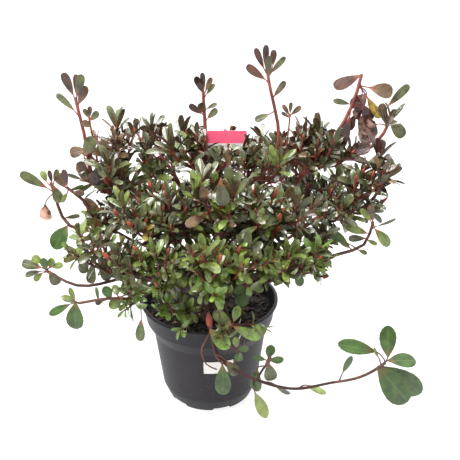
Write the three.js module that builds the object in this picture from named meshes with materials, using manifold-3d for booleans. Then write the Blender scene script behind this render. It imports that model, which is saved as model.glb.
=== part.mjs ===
// An evergreen azalea in a round black nursery pot, as a garden centre sells it.
//
// The plant stands in its pot's soil on one short trunk, which is cut flat where it meets the soil.
// Boughs leave the trunk and each other, and every bough is one tapering limb that ends where it
// enters a mass of foliage. A mass is one solid: leading shoots that start at the bough's tip, side
// twigs that leave them by a seeded rule, and leaves in whorls at the tips of both. One shoot
// trails over the pot's rim. It bends round a wide gap, so its bough is split at the bend.
//
// Millimetres, +Z up. The origin is the centre of the pot's underside, and the plant is seen from
// the front, -Y. A place is [heading, reach, height]: degrees from +X towards the back, distance
// from the pot's axis, and height above the ground.

import * as THREE from "three";
import { mergeVertices } from "three/addons/utils/BufferGeometryUtils.js";
import Module from "manifold-3d";

// Pot: a three-litre container, 190 across its rim and 150 high, with a collar over a tapering
// wall. It stands on a cut-away foot ring and on a pad in the middle of its base.
const POT_HEIGHT = 150;
const RIM = { radius: 95, depth: 3.5, bevel: 1 };
const COLLAR = { topRadius: 92, footRadius: 88.5, footHeight: 123 };
const BODY = { topRadius: 79, topHeight: 105, footRadius: 68.5, footHeight: 20 };
const FOOT = { radius: 60.5, width: 5 };
const WALL = 1.8;
const BASE = { thickness: 2.5, lift: 4, padRadius: 18, slope: 2 };
const POT_SIDES = 32;
const NOTCHES = { count: 6, width: 24, height: 3.5, heading: 286 };
const DRAINS = { count: 6, radius: 5, ring: 40, depth: 20, sides: 10 };

// Soil: fills the pot to a little under its rim, and rises towards the trunk.
const SOIL = { edgeHeight: 131, edgeRadius: 87.4, rise: 5 };

// A blank paper sticker on the front of the pot, and a plain plastic tag on a stake in the soil.
const STICKER = { width: 40, height: 20, thickness: 0.4, heading: 280, middle: 84 };
const TAG = { width: 54, height: 21, thickness: 1, x: 24, y: 60, top: 370, stakeWidth: 8, foot: 136 };

// GAP parts solids that rest on each other, CLEARANCE the masses of foliage, and ROOM the foliage
// from the pot and the tag.
const GAP = 0.3;
const CLEARANCE = 0.9;
const ROOM = { pot: 1, tag: 0.5, underPot: 20 };

// The trunk, which flares at its foot, and the limbs, which thin to a share of their own radius.
// left: the share of a bough that other limbs may not cut into.
const TRUNK = { radius: 8.5, tipRadius: 5, top: 192, lean: [45, 8], sides: 12, steps: 8 };
const FLARE = { radius: 5.5, height: 5 };
const BOUGH = { sides: 5, steps: 5, taper: 0.55, left: 0.55 };

// Leading shoots, and the side twigs that leave them. bud: how far the whorl is under the tip;
// fork: where on the first shoot the others start; sites: places that stand for a shoot when
// space is shared out; per100: twigs on 100 mm of shoot, between the shares from and to of it;
// stray: how far a twig may stand from its place; reach: the twig's length at the shoot's start
// and tip, which varies by vary.
const SHOOT = { sides: 3, steps: 3, radius: 2, tipRadius: 1.2, bud: 1.5, fork: 0.1, sites: 7 };
const TWIG = {
  sides: 3,
  radius: 2,
  bud: 9,
  per100: 1.6,
  from: 0.1,
  to: 0.86,
  stray: 0.6,
  lean: [44, 64],
  reach: [64, 29],
  vary: [0.75, 1.25],
  rise: 0.3,
};
const GOLDEN_ANGLE = 137.5;

// Leaves stand in whorls at the tips, the inner ones upright and short, and singly along shoots.
// They are fewer than on the plant, so each is a little larger than life. outline, cup and curl
// are shares of the length. A leaf's root lies in the middle of its stem, and from clear outwards
// it keeps off its neighbours. LEAF_TURNS: where it looks for room.
const WHORL = {
  shootLeaves: 4,
  twigLeaves: 3,
  spread: 15,
  lowest: 0.25,
  lean: [30, 72],
  sway: 8,
  length: [0.72, 1.05],
  vary: [0.85, 1.15],
};
const SINGLE = { spacing: 34, lean: 62, from: 0.2, to: 0.9, length: [0.75, 1.05] };
const LEAF = {
  length: 52,
  outline: [
    [0.42, 0.42],
    [0.76, 0.54],
  ],
  cup: 0.06,
  curl: 0.08,
  lift: 0.4,
  clear: 1.5,
};
const LEAF_TURNS = [0, 35, -35, 70, -70];

// The faces of a leaf between its root, 0, its tip, 1, and the two sides at each step of its
// outline, 2 to 5: four faces on top, and four that meet at the keel.
const LEAF_FACES = [
  [0, 3, 2],
  [2, 3, 5],
  [2, 5, 4],
  [4, 5, 1],
  [0, 2, 1],
  [2, 4, 1],
  [0, 1, 3],
  [3, 1, 5],
];

// The seed of the foliage, and what a chance is for, as the last of its keys.
const SEED = 19;
const CHANCE = { start: 1, place: 2, lean: 3, reach: 4, size: 5, singleStart: 6, singleSize: 7 };

const COLOURS = {
  pot: "#3a393c",
  paper: "#f2f1ef",
  tag: "#e8506f",
  soil: "#3a2a20",
  bark: "#5b3d2e",
  darkLeaf: "#3f4630",
  greenLeaf: "#4d7033",
};

// Boughs. from: the limb that it leaves, and how far along it; via: places on its way;
// tip: where it enters its foliage; bow: how far its middle stands over the straight line.
const BOUGHS = {
  left_high: { from: ["trunk", 0.74], tip: [168, 84, 292], bow: -14, radius: 4.2 },
  left_low: { from: ["trunk", 0.42], tip: [203, 108, 205], bow: 8, radius: 4 },
  front_left: { from: ["trunk", 0.62], tip: [230, 52, 238], bow: -10, radius: 3.6 },
  front: { from: ["trunk", 0.8], tip: [286, 42, 250], bow: -10, radius: 3.8 },
  right_low: { from: ["trunk", 0.4], tip: [347, 122, 207], bow: -6, radius: 4.2 },
  right_high: { from: ["trunk", 0.82], tip: [16, 118, 298], bow: -20, radius: 4.4 },
  back_right: { from: ["trunk", 0.66], tip: [46, 88, 272], bow: -16, radius: 3.8 },
  back_left: { from: ["trunk", 0.85], tip: [124, 70, 285], bow: -16, radius: 4 },
  left_outer: { from: ["left_high", 0.35], tip: [178, 122, 246], bow: -8, radius: 3 },
  left_trailing: { from: ["left_low", 0.3], tip: [211, 104, 176], bow: 8, radius: 2.8 },
  front_left_low: { from: ["front_left", 0.3], tip: [243, 72, 204], bow: -4, radius: 2.8 },
  pot_edge: { from: ["trunk", 0.2], tip: [240, 50, 158], bow: 4, radius: 2.4 },
  front_low: { from: ["front", 0.3], tip: [278, 72, 212], bow: -4, radius: 2.8 },
  front_right: { from: ["front", 0.4], tip: [318, 68, 246], bow: -6, radius: 2.8 },
  front_right_low: { from: ["right_low", 0.3], tip: [311, 84, 208], bow: -4, radius: 3 },
  right_outer: { from: ["right_high", 0.35], tip: [356, 128, 262], bow: -10, radius: 3 },
  centre: { from: ["right_high", 0.3], tip: [22, 46, 300], bow: 6, radius: 3.2 },
  crown: { from: ["back_left", 0.4], tip: [98, 30, 300], bow: 8, radius: 3 },
  back: { from: ["back_right", 0.35], tip: [84, 84, 262], bow: -6, radius: 3 },
  back_left_low: { from: ["back_left", 0.25], tip: [138, 106, 214], bow: -4, radius: 3 },
  back_low: { from: ["back", 0.3], tip: [94, 106, 206], bow: -2, radius: 2.4 },
  back_right_low: { from: ["back_right", 0.3], tip: [36, 112, 222], bow: -6, radius: 2.8 },
  front_sprig: { from: ["trunk", 0.3], via: [[288, 60, 178]], tip: [285, 110, 176], radius: 2.4 },
  trailing_upper: {
    from: ["trunk", 0.22],
    via: [[268, 60, 166], [272, 100, 166], [275, 116, 140]],
    tip: [281, 129, 124],
    radius: 2.6,
  },
  trailing_lower: {
    from: ["trailing_upper", 1],
    via: [[293, 154, 114], [305, 184, 107]],
    tip: [316, 216, 116],
    radius: 1.9,
  },
  trailing_spur: { from: ["trailing_lower", 0.3], tip: [297, 160, 136], bow: 2, radius: 1.5 },
};

// Foliage, by the limb that it grows from. shoots: where each leading shoot ends, and above which
// share of it no twig grows, where that is lower than on the rest; lift: how strongly its shoots,
// twigs and leaves turn up; full: how many twigs it has, and leaf: how large its leaves are,
// beside the rest.
const FOLIAGE = {
  trunk: { shoots: [[300, 40, 296], [170, 44, 286], [50, 30, 292]], lift: 0.8 },
  left_high: {
    shoots: [[174, 178, 418, 0.4], [160, 128, 380], [148, 98, 346], [186, 124, 346]],
    lift: 1,
  },
  left_outer: { shoots: [[178, 206, 318], [192, 168, 330]], lift: 0.9, full: 0.7 },
  left_low: {
    shoots: [[195, 206, 224], [206, 172, 280], [190, 150, 266]],
    lift: 0.5,
    full: 0.45,
  },
  left_trailing: { shoots: [[206, 182, 198], [222, 132, 218]], lift: 0.5, full: 0.35 },
  front_left: { shoots: [[246, 104, 334], [220, 128, 322], [262, 76, 335]], lift: 0.9 },
  front_left_low: { shoots: [[246, 142, 284], [226, 148, 272], [240, 106, 254]], lift: 0.9 },
  pot_edge: { shoots: [[238, 98, 188], [254, 90, 182]], lift: 0.4, full: 0.6 },
  front: { shoots: [[288, 104, 340], [264, 56, 342], [300, 84, 300]], lift: 0.9 },
  front_low: { shoots: [[270, 146, 290], [290, 138, 282], [280, 108, 248]], lift: 0.9 },
  front_right: { shoots: [[318, 142, 326], [304, 112, 336], [330, 110, 300]], lift: 0.9 },
  front_right_low: { shoots: [[308, 158, 280], [326, 164, 268], [316, 120, 250]], lift: 0.9 },
  right_low: {
    shoots: [[348, 208, 258], [336, 156, 274], [352, 150, 258]],
    lift: 0.7,
    full: 0.8,
  },
  right_outer: { shoots: [[353, 218, 322], [2, 220, 350], [342, 176, 304]], lift: 0.9 },
  right_high: {
    shoots: [[16, 206, 422, 0.35], [6, 234, 394, 0.5], [22, 158, 366], [4, 160, 366]],
    lift: 1,
  },
  centre: { shoots: [[19, 80, 450, 0.2], [346, 92, 358], [40, 56, 352]], lift: 1 },
  crown: { shoots: [[97, 70, 392, 0.4], [150, 56, 356], [112, 92, 354]], lift: 1 },
  back_right: { shoots: [[39, 168, 362], [55, 128, 354], [44, 130, 320]], lift: 0.9 },
  back: { shoots: [[77, 131, 346], [98, 122, 340]], lift: 0.9 },
  back_left: { shoots: [[130, 124, 362], [150, 96, 326]], lift: 0.9 },
  back_left_low: { shoots: [[141, 184, 280], [122, 176, 270], [132, 140, 256]], lift: 0.8 },
  back_low: { shoots: [[92, 182, 272], [76, 174, 266]], lift: 0.8 },
  back_right_low: { shoots: [[46, 192, 286], [26, 200, 292], [36, 150, 262]], lift: 0.8 },
  front_sprig: { shoots: [[281, 126, 152], [300, 130, 172]], lift: -0.1, full: 0.5 },
  trailing_lower: { shoots: [[327, 262, 138]], lift: 0.2, full: 0, leaf: 1.15 },
  trailing_spur: { shoots: [[298, 164, 150]], lift: 0.3, full: 0.3 },
};

const wasm = await Module();
wasm.setup();

const { degToRad, lerp } = THREE.MathUtils;
const UP = new THREE.Vector3(0, 0, 1);
const CONE_AXIS = new THREE.Vector3(0, 1, 0);

function placed([heading, reach, height]) {
  const turn = degToRad(heading);
  return new THREE.Vector3(reach * Math.cos(turn), reach * Math.sin(turn), height);
}

// Solids from three.js geometry, and back.
function solidOf(geometry) {
  const loose = geometry.index ? geometry.toNonIndexed() : geometry;
  const bare = new THREE.BufferGeometry();
  bare.setAttribute("position", loose.getAttribute("position"));
  const closed = mergeVertices(bare, 1e-3);
  const vertProperties = closed.getAttribute("position").array;
  const triVerts = new Uint32Array(closed.index.array);
  return new wasm.Manifold(new wasm.Mesh({ numProp: 3, vertProperties, triVerts }));
}

function geometryOf(solid) {
  const mesh = solid.getMesh();
  const geometry = new THREE.BufferGeometry();
  geometry.setAttribute("position", new THREE.BufferAttribute(mesh.vertProperties, 3));
  geometry.setIndex(new THREE.BufferAttribute(mesh.triVerts, 1));
  geometry.computeVertexNormals();
  return geometry;
}

// The largest body of a solid: cutting or fusing can leave a loose scrap or a sealed hollow.
function mainBody(solid) {
  const bodies = solid.decompose();
  return bodies.reduce((best, body) => (body.volume() > best.volume() ? body : best));
}

// A closed profile of [radius, height] pairs turned round the pot's axis.
function turned(profile) {
  const points = profile.map(([radius, height]) => new THREE.Vector2(radius, height));
  return new THREE.LatheGeometry(points, POT_SIDES).rotateX(Math.PI / 2);
}

// A box whose middle is at a heading, radius and height, and whose first side points outwards.
function boxAt(size, heading, radius, height) {
  const box = new THREE.BoxGeometry(...size);
  box.translate(radius, 0, height);
  return box.rotateZ(degToRad(heading));
}

// The outside of the pot's wall from its foot to its rim, grown outwards by a margin.
function outerWall(margin = 0) {
  return [
    [FOOT.radius + margin, 0],
    [BODY.footRadius + margin, BODY.footHeight],
    [BODY.topRadius + margin, BODY.topHeight],
    [COLLAR.footRadius + margin, COLLAR.footHeight],
    [COLLAR.topRadius + margin, POT_HEIGHT - RIM.depth],
  ];
}

function potSolid() {
  const floor = BASE.lift + BASE.thickness;
  let pot = solidOf(
    turned([
      [0, 0],
      [BASE.padRadius, 0],
      [BASE.padRadius + BASE.slope, BASE.lift],
      [FOOT.radius - FOOT.width - 1, BASE.lift],
      [FOOT.radius - FOOT.width, 0],
      ...outerWall(),
      [RIM.radius, POT_HEIGHT - RIM.depth],
      [RIM.radius, POT_HEIGHT - RIM.bevel],
      [RIM.radius - RIM.bevel, POT_HEIGHT],
      [COLLAR.topRadius - WALL, POT_HEIGHT],
      ...outerWall(-WALL).slice(1).reverse(),
      [FOOT.radius, floor],
      [0, floor],
    ]),
  );
  for (let i = 0; i < NOTCHES.count; i++) {
    const size = [4 * FOOT.width, NOTCHES.width, 2 * NOTCHES.height];
    const heading = NOTCHES.heading + (360 / NOTCHES.count) * i;
    pot = pot.subtract(solidOf(boxAt(size, heading, FOOT.radius, 0)));
  }
  for (let i = 0; i < DRAINS.count; i++) {
    const { radius, ring, depth, sides } = DRAINS;
    const middle = placed([(360 / DRAINS.count) * (i + 0.5), ring, 0]);
    const drain = new THREE.CylinderGeometry(radius, radius, depth, sides).rotateX(Math.PI / 2);
    pot = pot.subtract(solidOf(drain.translate(...middle)));
  }
  return pot;
}

// The soil's surface is lowest at the wall and highest, by SOIL.rise, round the trunk.
function soilHeight(radius) {
  return SOIL.edgeHeight + SOIL.rise * (1 - (radius / SOIL.edgeRadius) ** 2);
}

function soilSolid() {
  const floor = BASE.lift + BASE.thickness + GAP;
  const [foot, ...wall] = outerWall(-WALL - GAP).slice(1, 4);
  return solidOf(
    turned([
      [0, floor],
      [FOOT.radius - GAP, floor],
      [foot[0] - GAP, foot[1]],
      ...wall,
      [SOIL.edgeRadius, soilHeight(SOIL.edgeRadius)],
      [SOIL.edgeRadius / 2, soilHeight(SOIL.edgeRadius / 2)],
      [0, soilHeight(0)],
    ]),
  );
}

// A shell of the wall's own taper, cut down to the sticker's width and height.
function stickerSolid() {
  const outside = outerWall(GAP + STICKER.thickness).slice(1, 3);
  const inside = outerWall(GAP).slice(1, 3).reverse();
  const shell = solidOf(turned([...outside, ...inside, outside[0]]));
  const size = [STICKER.width, STICKER.width, STICKER.height];
  return shell.intersect(solidOf(boxAt(size, STICKER.heading, BODY.topRadius, STICKER.middle)));
}

// The tag's head on its stake, grown by a margin on all sides.
function tagSolid(margin = 0) {
  const thickness = TAG.thickness + 2 * margin;
  const head = new THREE.BoxGeometry(TAG.width + 2 * margin, thickness, TAG.height + 2 * margin);
  const length = TAG.top - TAG.foot - 1;
  const stake = new THREE.BoxGeometry(TAG.stakeWidth + 2 * margin, thickness, length);
  head.translate(TAG.x, TAG.y, TAG.top - TAG.height / 2);
  stake.translate(TAG.x, TAG.y, TAG.foot + length / 2);
  return solidOf(head).add(solidOf(stake));
}

// A stem runs straight from step to step of its curve. This is the point at a share of its length.
function pointOn({ curve, steps }, share) {
  const step = Math.min(Math.floor(share * steps), steps - 1);
  return curve.getPointAt(step / steps).lerp(curve.getPointAt((step + 1) / steps), share * steps - step);
}

// A cylinder bent along a curve, with a radius given for each share of the curve's length.
function bentCylinder(curve, radiusAt, sides, steps) {
  const shape = new THREE.CylinderGeometry(1, 1, 1, sides, steps);
  const frames = curve.computeFrenetFrames(steps, false);
  const position = shape.getAttribute("position");
  for (let i = 0; i < position.count; i++) {
    const step = Math.round((position.getY(i) + 0.5) * steps);
    const radius = radiusAt(step / steps);
    const point = curve.getPointAt(step / steps);
    point.addScaledVector(frames.normals[step], position.getX(i) * radius);
    point.addScaledVector(frames.binormals[step], -position.getZ(i) * radius);
    position.setXYZ(i, point.x, point.y, point.z);
  }
  return shape;
}

// The trunk rises from the soil with a root flare, leans a little, and tapers to its tip.
function trunkCurve() {
  const foot = new THREE.Vector3(0, 0, soilHeight(0) + GAP);
  const tip = placed([...TRUNK.lean, TRUNK.top]);
  const middle = new THREE.Vector3(0, 0, lerp(foot.z, tip.z, 0.5));
  return new THREE.QuadraticBezierCurve3(foot, middle, tip);
}

function trunkRadius(share) {
  const height = share * (TRUNK.top - soilHeight(0));
  return lerp(TRUNK.radius, TRUNK.tipRadius, share) + FLARE.radius * Math.exp(-height / FLARE.height);
}

function trunkSolid(curve, margin = 0) {
  const radiusAt = (share) => trunkRadius(share) + margin;
  return solidOf(bentCylinder(curve, radiusAt, TRUNK.sides, TRUNK.steps));
}

// A bough's curve: through its places where it has any, or else one arc that stands its bow over
// the straight line from its limb to its tip.
function boughCurve({ from: [limb, share], via, tip, bow = 0 }, curves) {
  const start = curves[limb].getPointAt(share);
  const end = placed(tip);
  if (share === 1) {
    start.addScaledVector(curves[limb].getTangentAt(1), GAP);
  }
  if (via) {
    return new THREE.CatmullRomCurve3([start, ...via.map(placed), end], false, "centripetal");
  }
  const middle = start.clone().lerp(end, 0.5).addScaledVector(UP, 2 * bow);
  return new THREE.QuadraticBezierCurve3(start, middle, end);
}

function boughSolid({ radius }, curve, margin = 0) {
  const radiusAt = (share) => radius * lerp(1, BOUGH.taper, share) + margin;
  return solidOf(bentCylinder(curve, radiusAt, BOUGH.sides, BOUGH.steps));
}

// Chance from 0 to 1, always the same for the same keys.
function chance(...keys) {
  let hash = 2166136261;
  for (const key of [SEED, ...keys]) {
    hash = Math.imul(hash ^ (key + 40503), 16777619);
    hash ^= hash >>> 13;
  }
  hash = Math.imul(hash ^ (hash >>> 15), 2246822507);
  return ((hash ^ (hash >>> 16)) >>> 0) / 4294967296;
}

// A direction turned round an axis, and leaned away from it, both in degrees.
function leaned(axis, turn, lean) {
  const across = UP.clone().cross(axis);
  if (across.length() < 0.05) {
    across.set(1, 0, 0);
  }
  across.normalize().applyAxisAngle(axis, degToRad(turn)).multiplyScalar(Math.sin(degToRad(lean)));
  return across.addScaledVector(axis, Math.cos(degToRad(lean)));
}

// A leaf blade like a shallow boat: its keel runs from root to tip, and its sides stand up towards
// the stem's tip. Its root lies a given distance out from the middle of the stem.
function leafSolid({ stem, share, turn, lean, length }, out) {
  const axis = stem.curve.getTangentAt(share);
  const along = leaned(axis, turn, lean).addScaledVector(UP, stem.lift).normalize();
  const face = axis.addScaledVector(along, -axis.dot(along)).normalize();
  const side = face.clone().cross(along);
  const at = (forward, across, rise) =>
    pointOn(stem, share)
      .addScaledVector(along, forward * length)
      .addScaledVector(side, across * length)
      .addScaledVector(face, rise * length);
  const corners = [at(out / length, 0, 0), at(1, 0, -LEAF.curl)];
  for (const [reach, width] of LEAF.outline) {
    corners.push(at(reach, width / 2, LEAF.cup), at(reach, -width / 2, LEAF.cup));
  }
  const blade = new THREE.BufferGeometry().setFromPoints(corners);
  blade.setIndex(LEAF_FACES.flat());
  return solidOf(blade);
}

// The leading shoots of a mass. The first goes on from its bough's tip, and the others leave it
// a little above its start. They turn up towards their tips.
function shootCurves({ shoots, lift }, bough) {
  const tangent = bough.getTangentAt(1);
  const start = bough.getPointAt(1).addScaledVector(tangent, GAP);
  const curves = [];
  for (const apex of shoots) {
    const end = placed(apex);
    const root = curves.length ? curves[0].getPointAt(SHOOT.fork) : start;
    const straight = end.clone().sub(root).normalize();
    const leaving = curves.length ? curves[0].getTangentAt(SHOOT.fork).add(straight) : tangent.clone();
    const arriving = straight.clone().addScaledVector(UP, lift).normalize();
    const third = root.distanceTo(end) / 3;
    const first = root.clone().addScaledVector(leaving.normalize(), third);
    const second = end.clone().addScaledVector(arriving, -third);
    curves.push(new THREE.CubicBezierCurve3(root, first, second, end));
  }
  return curves;
}

// True where a point is nearer to its own mass's shoots than to any other's.
function keepsSpace(point, name, sites) {
  let own = Infinity;
  let other = Infinity;
  for (const site of sites) {
    const distance = site.point.distanceTo(point);
    if (site.name === name) {
      own = Math.min(own, distance);
    } else {
      other = Math.min(other, distance);
    }
  }
  return own + CLEARANCE < other;
}

function cornersKeepSpace(solid, name, sites) {
  const { vertProperties } = solid.getMesh();
  for (let i = 0; i < vertProperties.length; i += 3) {
    if (!keepsSpace(new THREE.Vector3(...vertProperties.slice(i, i + 3)), name, sites)) {
      return false;
    }
  }
  return true;
}

// The leaves of a whorl at a stem's tip, the golden angle apart. A leaf is where it grows on its
// stem, and how it stands.
function whorlLeaves(stem, count, keys) {
  const start = 360 * chance(...keys, CHANCE.start);
  const leaves = [];
  for (let i = 0; i < count; i++) {
    const outward = (i + 0.5) / count;
    const down = (stem.bud + WHORL.spread * outward) / stem.curve.getLength();
    const sway = lerp(-WHORL.sway, WHORL.sway, chance(...keys, i, CHANCE.lean));
    const size = lerp(...WHORL.vary, chance(...keys, i, CHANCE.size));
    leaves.push({
      stem,
      share: Math.max(1 - down, WHORL.lowest),
      turn: start + i * GOLDEN_ANGLE,
      lean: lerp(...WHORL.lean, outward) + sway,
      length: stem.leaf * lerp(...WHORL.length, outward) * size,
    });
  }
  return leaves;
}

// Single leaves along a shoot, below its whorl.
function singleLeaves(stem, keys) {
  const stretch = (SINGLE.to - SINGLE.from) * stem.curve.getLength();
  const count = Math.floor(stretch / SINGLE.spacing);
  const start = 360 * chance(...keys, CHANCE.singleStart);
  const leaves = [];
  for (let i = 0; i < count; i++) {
    leaves.push({
      stem,
      share: lerp(SINGLE.from, SINGLE.to, (i + 0.5) / count),
      turn: start + i * GOLDEN_ANGLE,
      lean: SINGLE.lean,
      length: stem.leaf * lerp(...SINGLE.length, chance(...keys, i, CHANCE.singleSize)),
    });
  }
  return leaves;
}

// The twigs that leave a shoot, each a straight stem. They shorten towards its tip.
function sideTwigs(shoot, keys) {
  const count = Math.round((TWIG.per100 * shoot.full * shoot.curve.getLength()) / 100);
  const start = 360 * chance(...keys, CHANCE.start);
  const twigs = [];
  for (let i = 0; i < count; i++) {
    const place = (i + TWIG.stray * chance(...keys, i, CHANCE.place)) / count;
    const share = lerp(TWIG.from, shoot.to, place);
    const lean = lerp(...TWIG.lean, chance(...keys, i, CHANCE.lean));
    const way = leaned(shoot.curve.getTangentAt(share), start + i * GOLDEN_ANGLE, lean);
    const reach = lerp(...TWIG.reach, share) * lerp(...TWIG.vary, chance(...keys, i, CHANCE.reach));
    const root = pointOn(shoot, share);
    const tip = root.clone().addScaledVector(way.addScaledVector(UP, TWIG.rise * shoot.rise), reach);
    twigs.push({ ...shoot, curve: new THREE.LineCurve3(root, tip), steps: 1, bud: TWIG.bud });
  }
  return twigs;
}

function shootSolid({ curve, radius, tipRadius, sides, steps }) {
  return solidOf(bentCylinder(curve, (share) => lerp(radius, tipRadius, share), sides, steps));
}

// A twig is a thin three-sided cone, whose point is the bud in the middle of its whorl.
function twigSolid({ curve }) {
  const cone = new THREE.ConeGeometry(TWIG.radius, curve.getLength(), TWIG.sides);
  cone.applyQuaternion(new THREE.Quaternion().setFromUnitVectors(CONE_AXIS, curve.getTangent(0)));
  return solidOf(cone.translate(...curve.getPoint(0.5)));
}

function boxesMeet(a, b) {
  return [0, 1, 2].every((axis) => a.min[axis] < b.max[axis] && b.min[axis] < a.max[axis]);
}

function crosses(solid, others) {
  const box = solid.boundingBox();
  return others.some((other) => boxesMeet(box, other.boundingBox()) && !solid.intersect(other).isEmpty());
}

// A mass of foliage as one solid. A twig or leaf that would leave the mass's own space, or touch a
// limb, the pot, the soil or the tag, is left out. A leaf that would cross another turns away.
function massSolid(name, index, curves, sites, obstacles) {
  const fits = (solid) => cornersKeepSpace(solid, name, sites) && solid.intersect(obstacles).isEmpty();
  const { shoots, lift, full = 1, leaf = 1 } = FOLIAGE[name];
  const stems = [];
  const leaves = [];
  curves.forEach((curve, n) => {
    const to = shoots[n][3] ?? TWIG.to;
    const turnUp = { rise: lift, lift: LEAF.lift * lift };
    const shoot = { ...SHOOT, ...turnUp, curve, to, full, leaf: LEAF.length * leaf };
    stems.push(shootSolid(shoot));
    leaves.push(...whorlLeaves(shoot, WHORL.shootLeaves, [index, n]));
    leaves.push(...singleLeaves(shoot, [index, n]));
    sideTwigs(shoot, [index, n]).forEach((twig, i) => {
      const solid = twigSolid(twig);
      if (fits(solid)) {
        stems.push(solid);
        leaves.push(...whorlLeaves(twig, WHORL.twigLeaves, [index, n, i]));
      }
    });
  });
  const pieces = [...stems];
  for (const leaf of leaves) {
    for (const away of LEAF_TURNS) {
      const turned = { ...leaf, turn: leaf.turn + away };
      const blade = leafSolid(turned, LEAF.clear);
      if (fits(blade) && !crosses(blade, pieces)) {
        pieces.push(leafSolid(turned, 0));
        break;
      }
    }
  }
  return mainBody(wasm.Manifold.union(pieces));
}

const group = new THREE.Group();

function addNode(name, solid, colour, roughness) {
  const material = new THREE.MeshStandardMaterial({ color: colour, roughness, metalness: 0 });
  const mesh = new THREE.Mesh(geometryOf(solid), material);
  mesh.name = name;
  group.add(mesh);
}

const curves = { trunk: trunkCurve() };
const trunk = trunkSolid(curves.trunk);

addNode("pot", potSolid(), COLOURS.pot, 0.55);
addNode("soil", soilSolid(), COLOURS.soil, 0.95);
addNode("pot_sticker", stickerSolid(), COLOURS.paper, 0.7);
addNode("plant_tag", tagSolid(), COLOURS.tag, 0.4);
addNode("trunk", trunk, COLOURS.bark, 0.85);

// Each bough is cut clear of the limbs before it.
const thickLimbs = [trunkSolid(curves.trunk, GAP)];
for (const [name, bough] of Object.entries(BOUGHS)) {
  curves[name] = boughCurve(bough, curves);
  const whole = boughSolid(bough, curves[name]);
  const cut = mainBody(whole.subtract(wasm.Manifold.union(thickLimbs)));
  if (cut.volume() < BOUGH.left * whole.volume()) {
    throw new Error(`bough ${name} is cut through by another limb`);
  }
  addNode(`bough_${name}`, cut, COLOURS.bark, 0.85);
  thickLimbs.push(boughSolid(bough, curves[name], GAP));
}

// What foliage has to stay clear of.
const potRoom = turned([
  [0, -ROOM.underPot],
  [FOOT.radius + ROOM.pot, -ROOM.underPot],
  ...outerWall(ROOM.pot),
  [RIM.radius + ROOM.pot, POT_HEIGHT - RIM.depth - ROOM.pot],
  [RIM.radius + ROOM.pot, POT_HEIGHT + ROOM.pot],
  [COLLAR.topRadius - WALL - ROOM.pot, POT_HEIGHT + ROOM.pot],
  [SOIL.edgeRadius - ROOM.pot, SOIL.edgeHeight + ROOM.pot],
  [0, soilHeight(0) + ROOM.pot],
]);
const obstacles = wasm.Manifold.union([...thickLimbs, solidOf(potRoom), tagSolid(ROOM.tag)]);

const masses = Object.entries(FOLIAGE).map(([name, mass]) => [name, shootCurves(mass, curves[name])]);
const sites = masses.flatMap(([name, shoots]) =>
  shoots.flatMap((shoot) => shoot.getSpacedPoints(SHOOT.sites).map((point) => ({ name, point }))),
);
masses.forEach(([name, shoots], index) => {
  const height = FOLIAGE[name].shoots[0][2];
  const colour = height > 300 ? COLOURS.darkLeaf : COLOURS.greenLeaf;
  addNode(`foliage_${name}`, massSolid(name, index, shoots, sites, obstacles), colour, 0.45);
});

export default group;
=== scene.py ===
"""An evergreen azalea in its nursery pot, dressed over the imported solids.

Limbs, shoots and twigs are paths that are read by the share of their length. The limbs and the
leading shoots follow the tables of places below, and finer twigs leave them by the same rule:
the golden angle apart, shorter towards the tip, and turned up. Leaves stand in whorls at the tips
and singly below them, and each kind of leaf, twig and bud is joined into pieces.

A place is [heading, reach, height]: degrees from +X towards the back, distance from the pot's
axis, and height, in millimetres. Everything else is in metres.
"""

import bpy
import numpy as np
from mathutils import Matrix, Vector


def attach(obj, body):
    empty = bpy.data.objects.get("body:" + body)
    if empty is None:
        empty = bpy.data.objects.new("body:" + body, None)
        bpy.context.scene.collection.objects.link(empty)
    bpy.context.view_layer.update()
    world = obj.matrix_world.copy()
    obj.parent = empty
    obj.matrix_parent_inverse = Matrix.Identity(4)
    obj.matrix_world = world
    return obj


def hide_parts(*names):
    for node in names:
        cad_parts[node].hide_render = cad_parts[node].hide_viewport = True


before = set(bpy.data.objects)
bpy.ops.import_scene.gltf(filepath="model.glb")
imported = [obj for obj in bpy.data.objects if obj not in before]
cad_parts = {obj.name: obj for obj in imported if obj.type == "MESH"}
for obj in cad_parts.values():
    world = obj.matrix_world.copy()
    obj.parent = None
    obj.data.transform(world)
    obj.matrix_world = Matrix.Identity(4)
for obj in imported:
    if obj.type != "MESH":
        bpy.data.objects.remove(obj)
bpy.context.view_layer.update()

NODES = sorted(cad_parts)
LIMBS = [n for n in NODES if n == "trunk" or n.startswith("bough_")]
MASSES = [n for n in NODES if n.startswith("foliage_")]

MM = 0.001
UP = np.array([0.0, 0.0, 1.0])
GOLDEN_ANGLE = np.radians(137.5)
rng = np.random.default_rng(33)

# The pot, and the soil in it, from the same sizes as the solids: the wall's thickness, its outside
# from foot to rim as radius and height, the heights of the base's two faces, the soil's height
# at its edge, the radii where its slope and its bed end, and its rise to the trunk. The gap keeps
# the soil clear of the pot, and one limb clear of the next.
POT_HEIGHT = 0.150
RIM_RADIUS = 0.095
WALL = 0.0018
OUTSIDE = np.array([[60.5, 0], [68.5, 20], [79, 105], [88.5, 123], [92, 146.5]]) * MM
BASE_UNDER, BASE_TOP = 0.004, 0.0065
DRAIN_HOLES = 6
SOIL = {"edge": 0.131, "radius": 0.0874, "wall": 0.087, "rise": 0.005}
GAP = 0.0003

# The tag: its middle from side to side and from front to back, its head's lower edge, width,
# height and corner radius, the share of the head that is white, and the stake's lower and upper
# end and half width.
TAG = {
    "x": 0.024, "y": 0.060, "lower": 0.349, "width": 0.054, "height": 0.021, "corner": 0.0028,
    "white": 0.16, "stake": (0.136, 0.3695, 0.004),
}

# The sticker: heading of its middle, half width, the wall's radius there, and lower and upper
# edge.
STICKER = {"heading": 280, "half": 0.020, "radius": 0.0765, "heights": (0.074, 0.094)}

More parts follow.
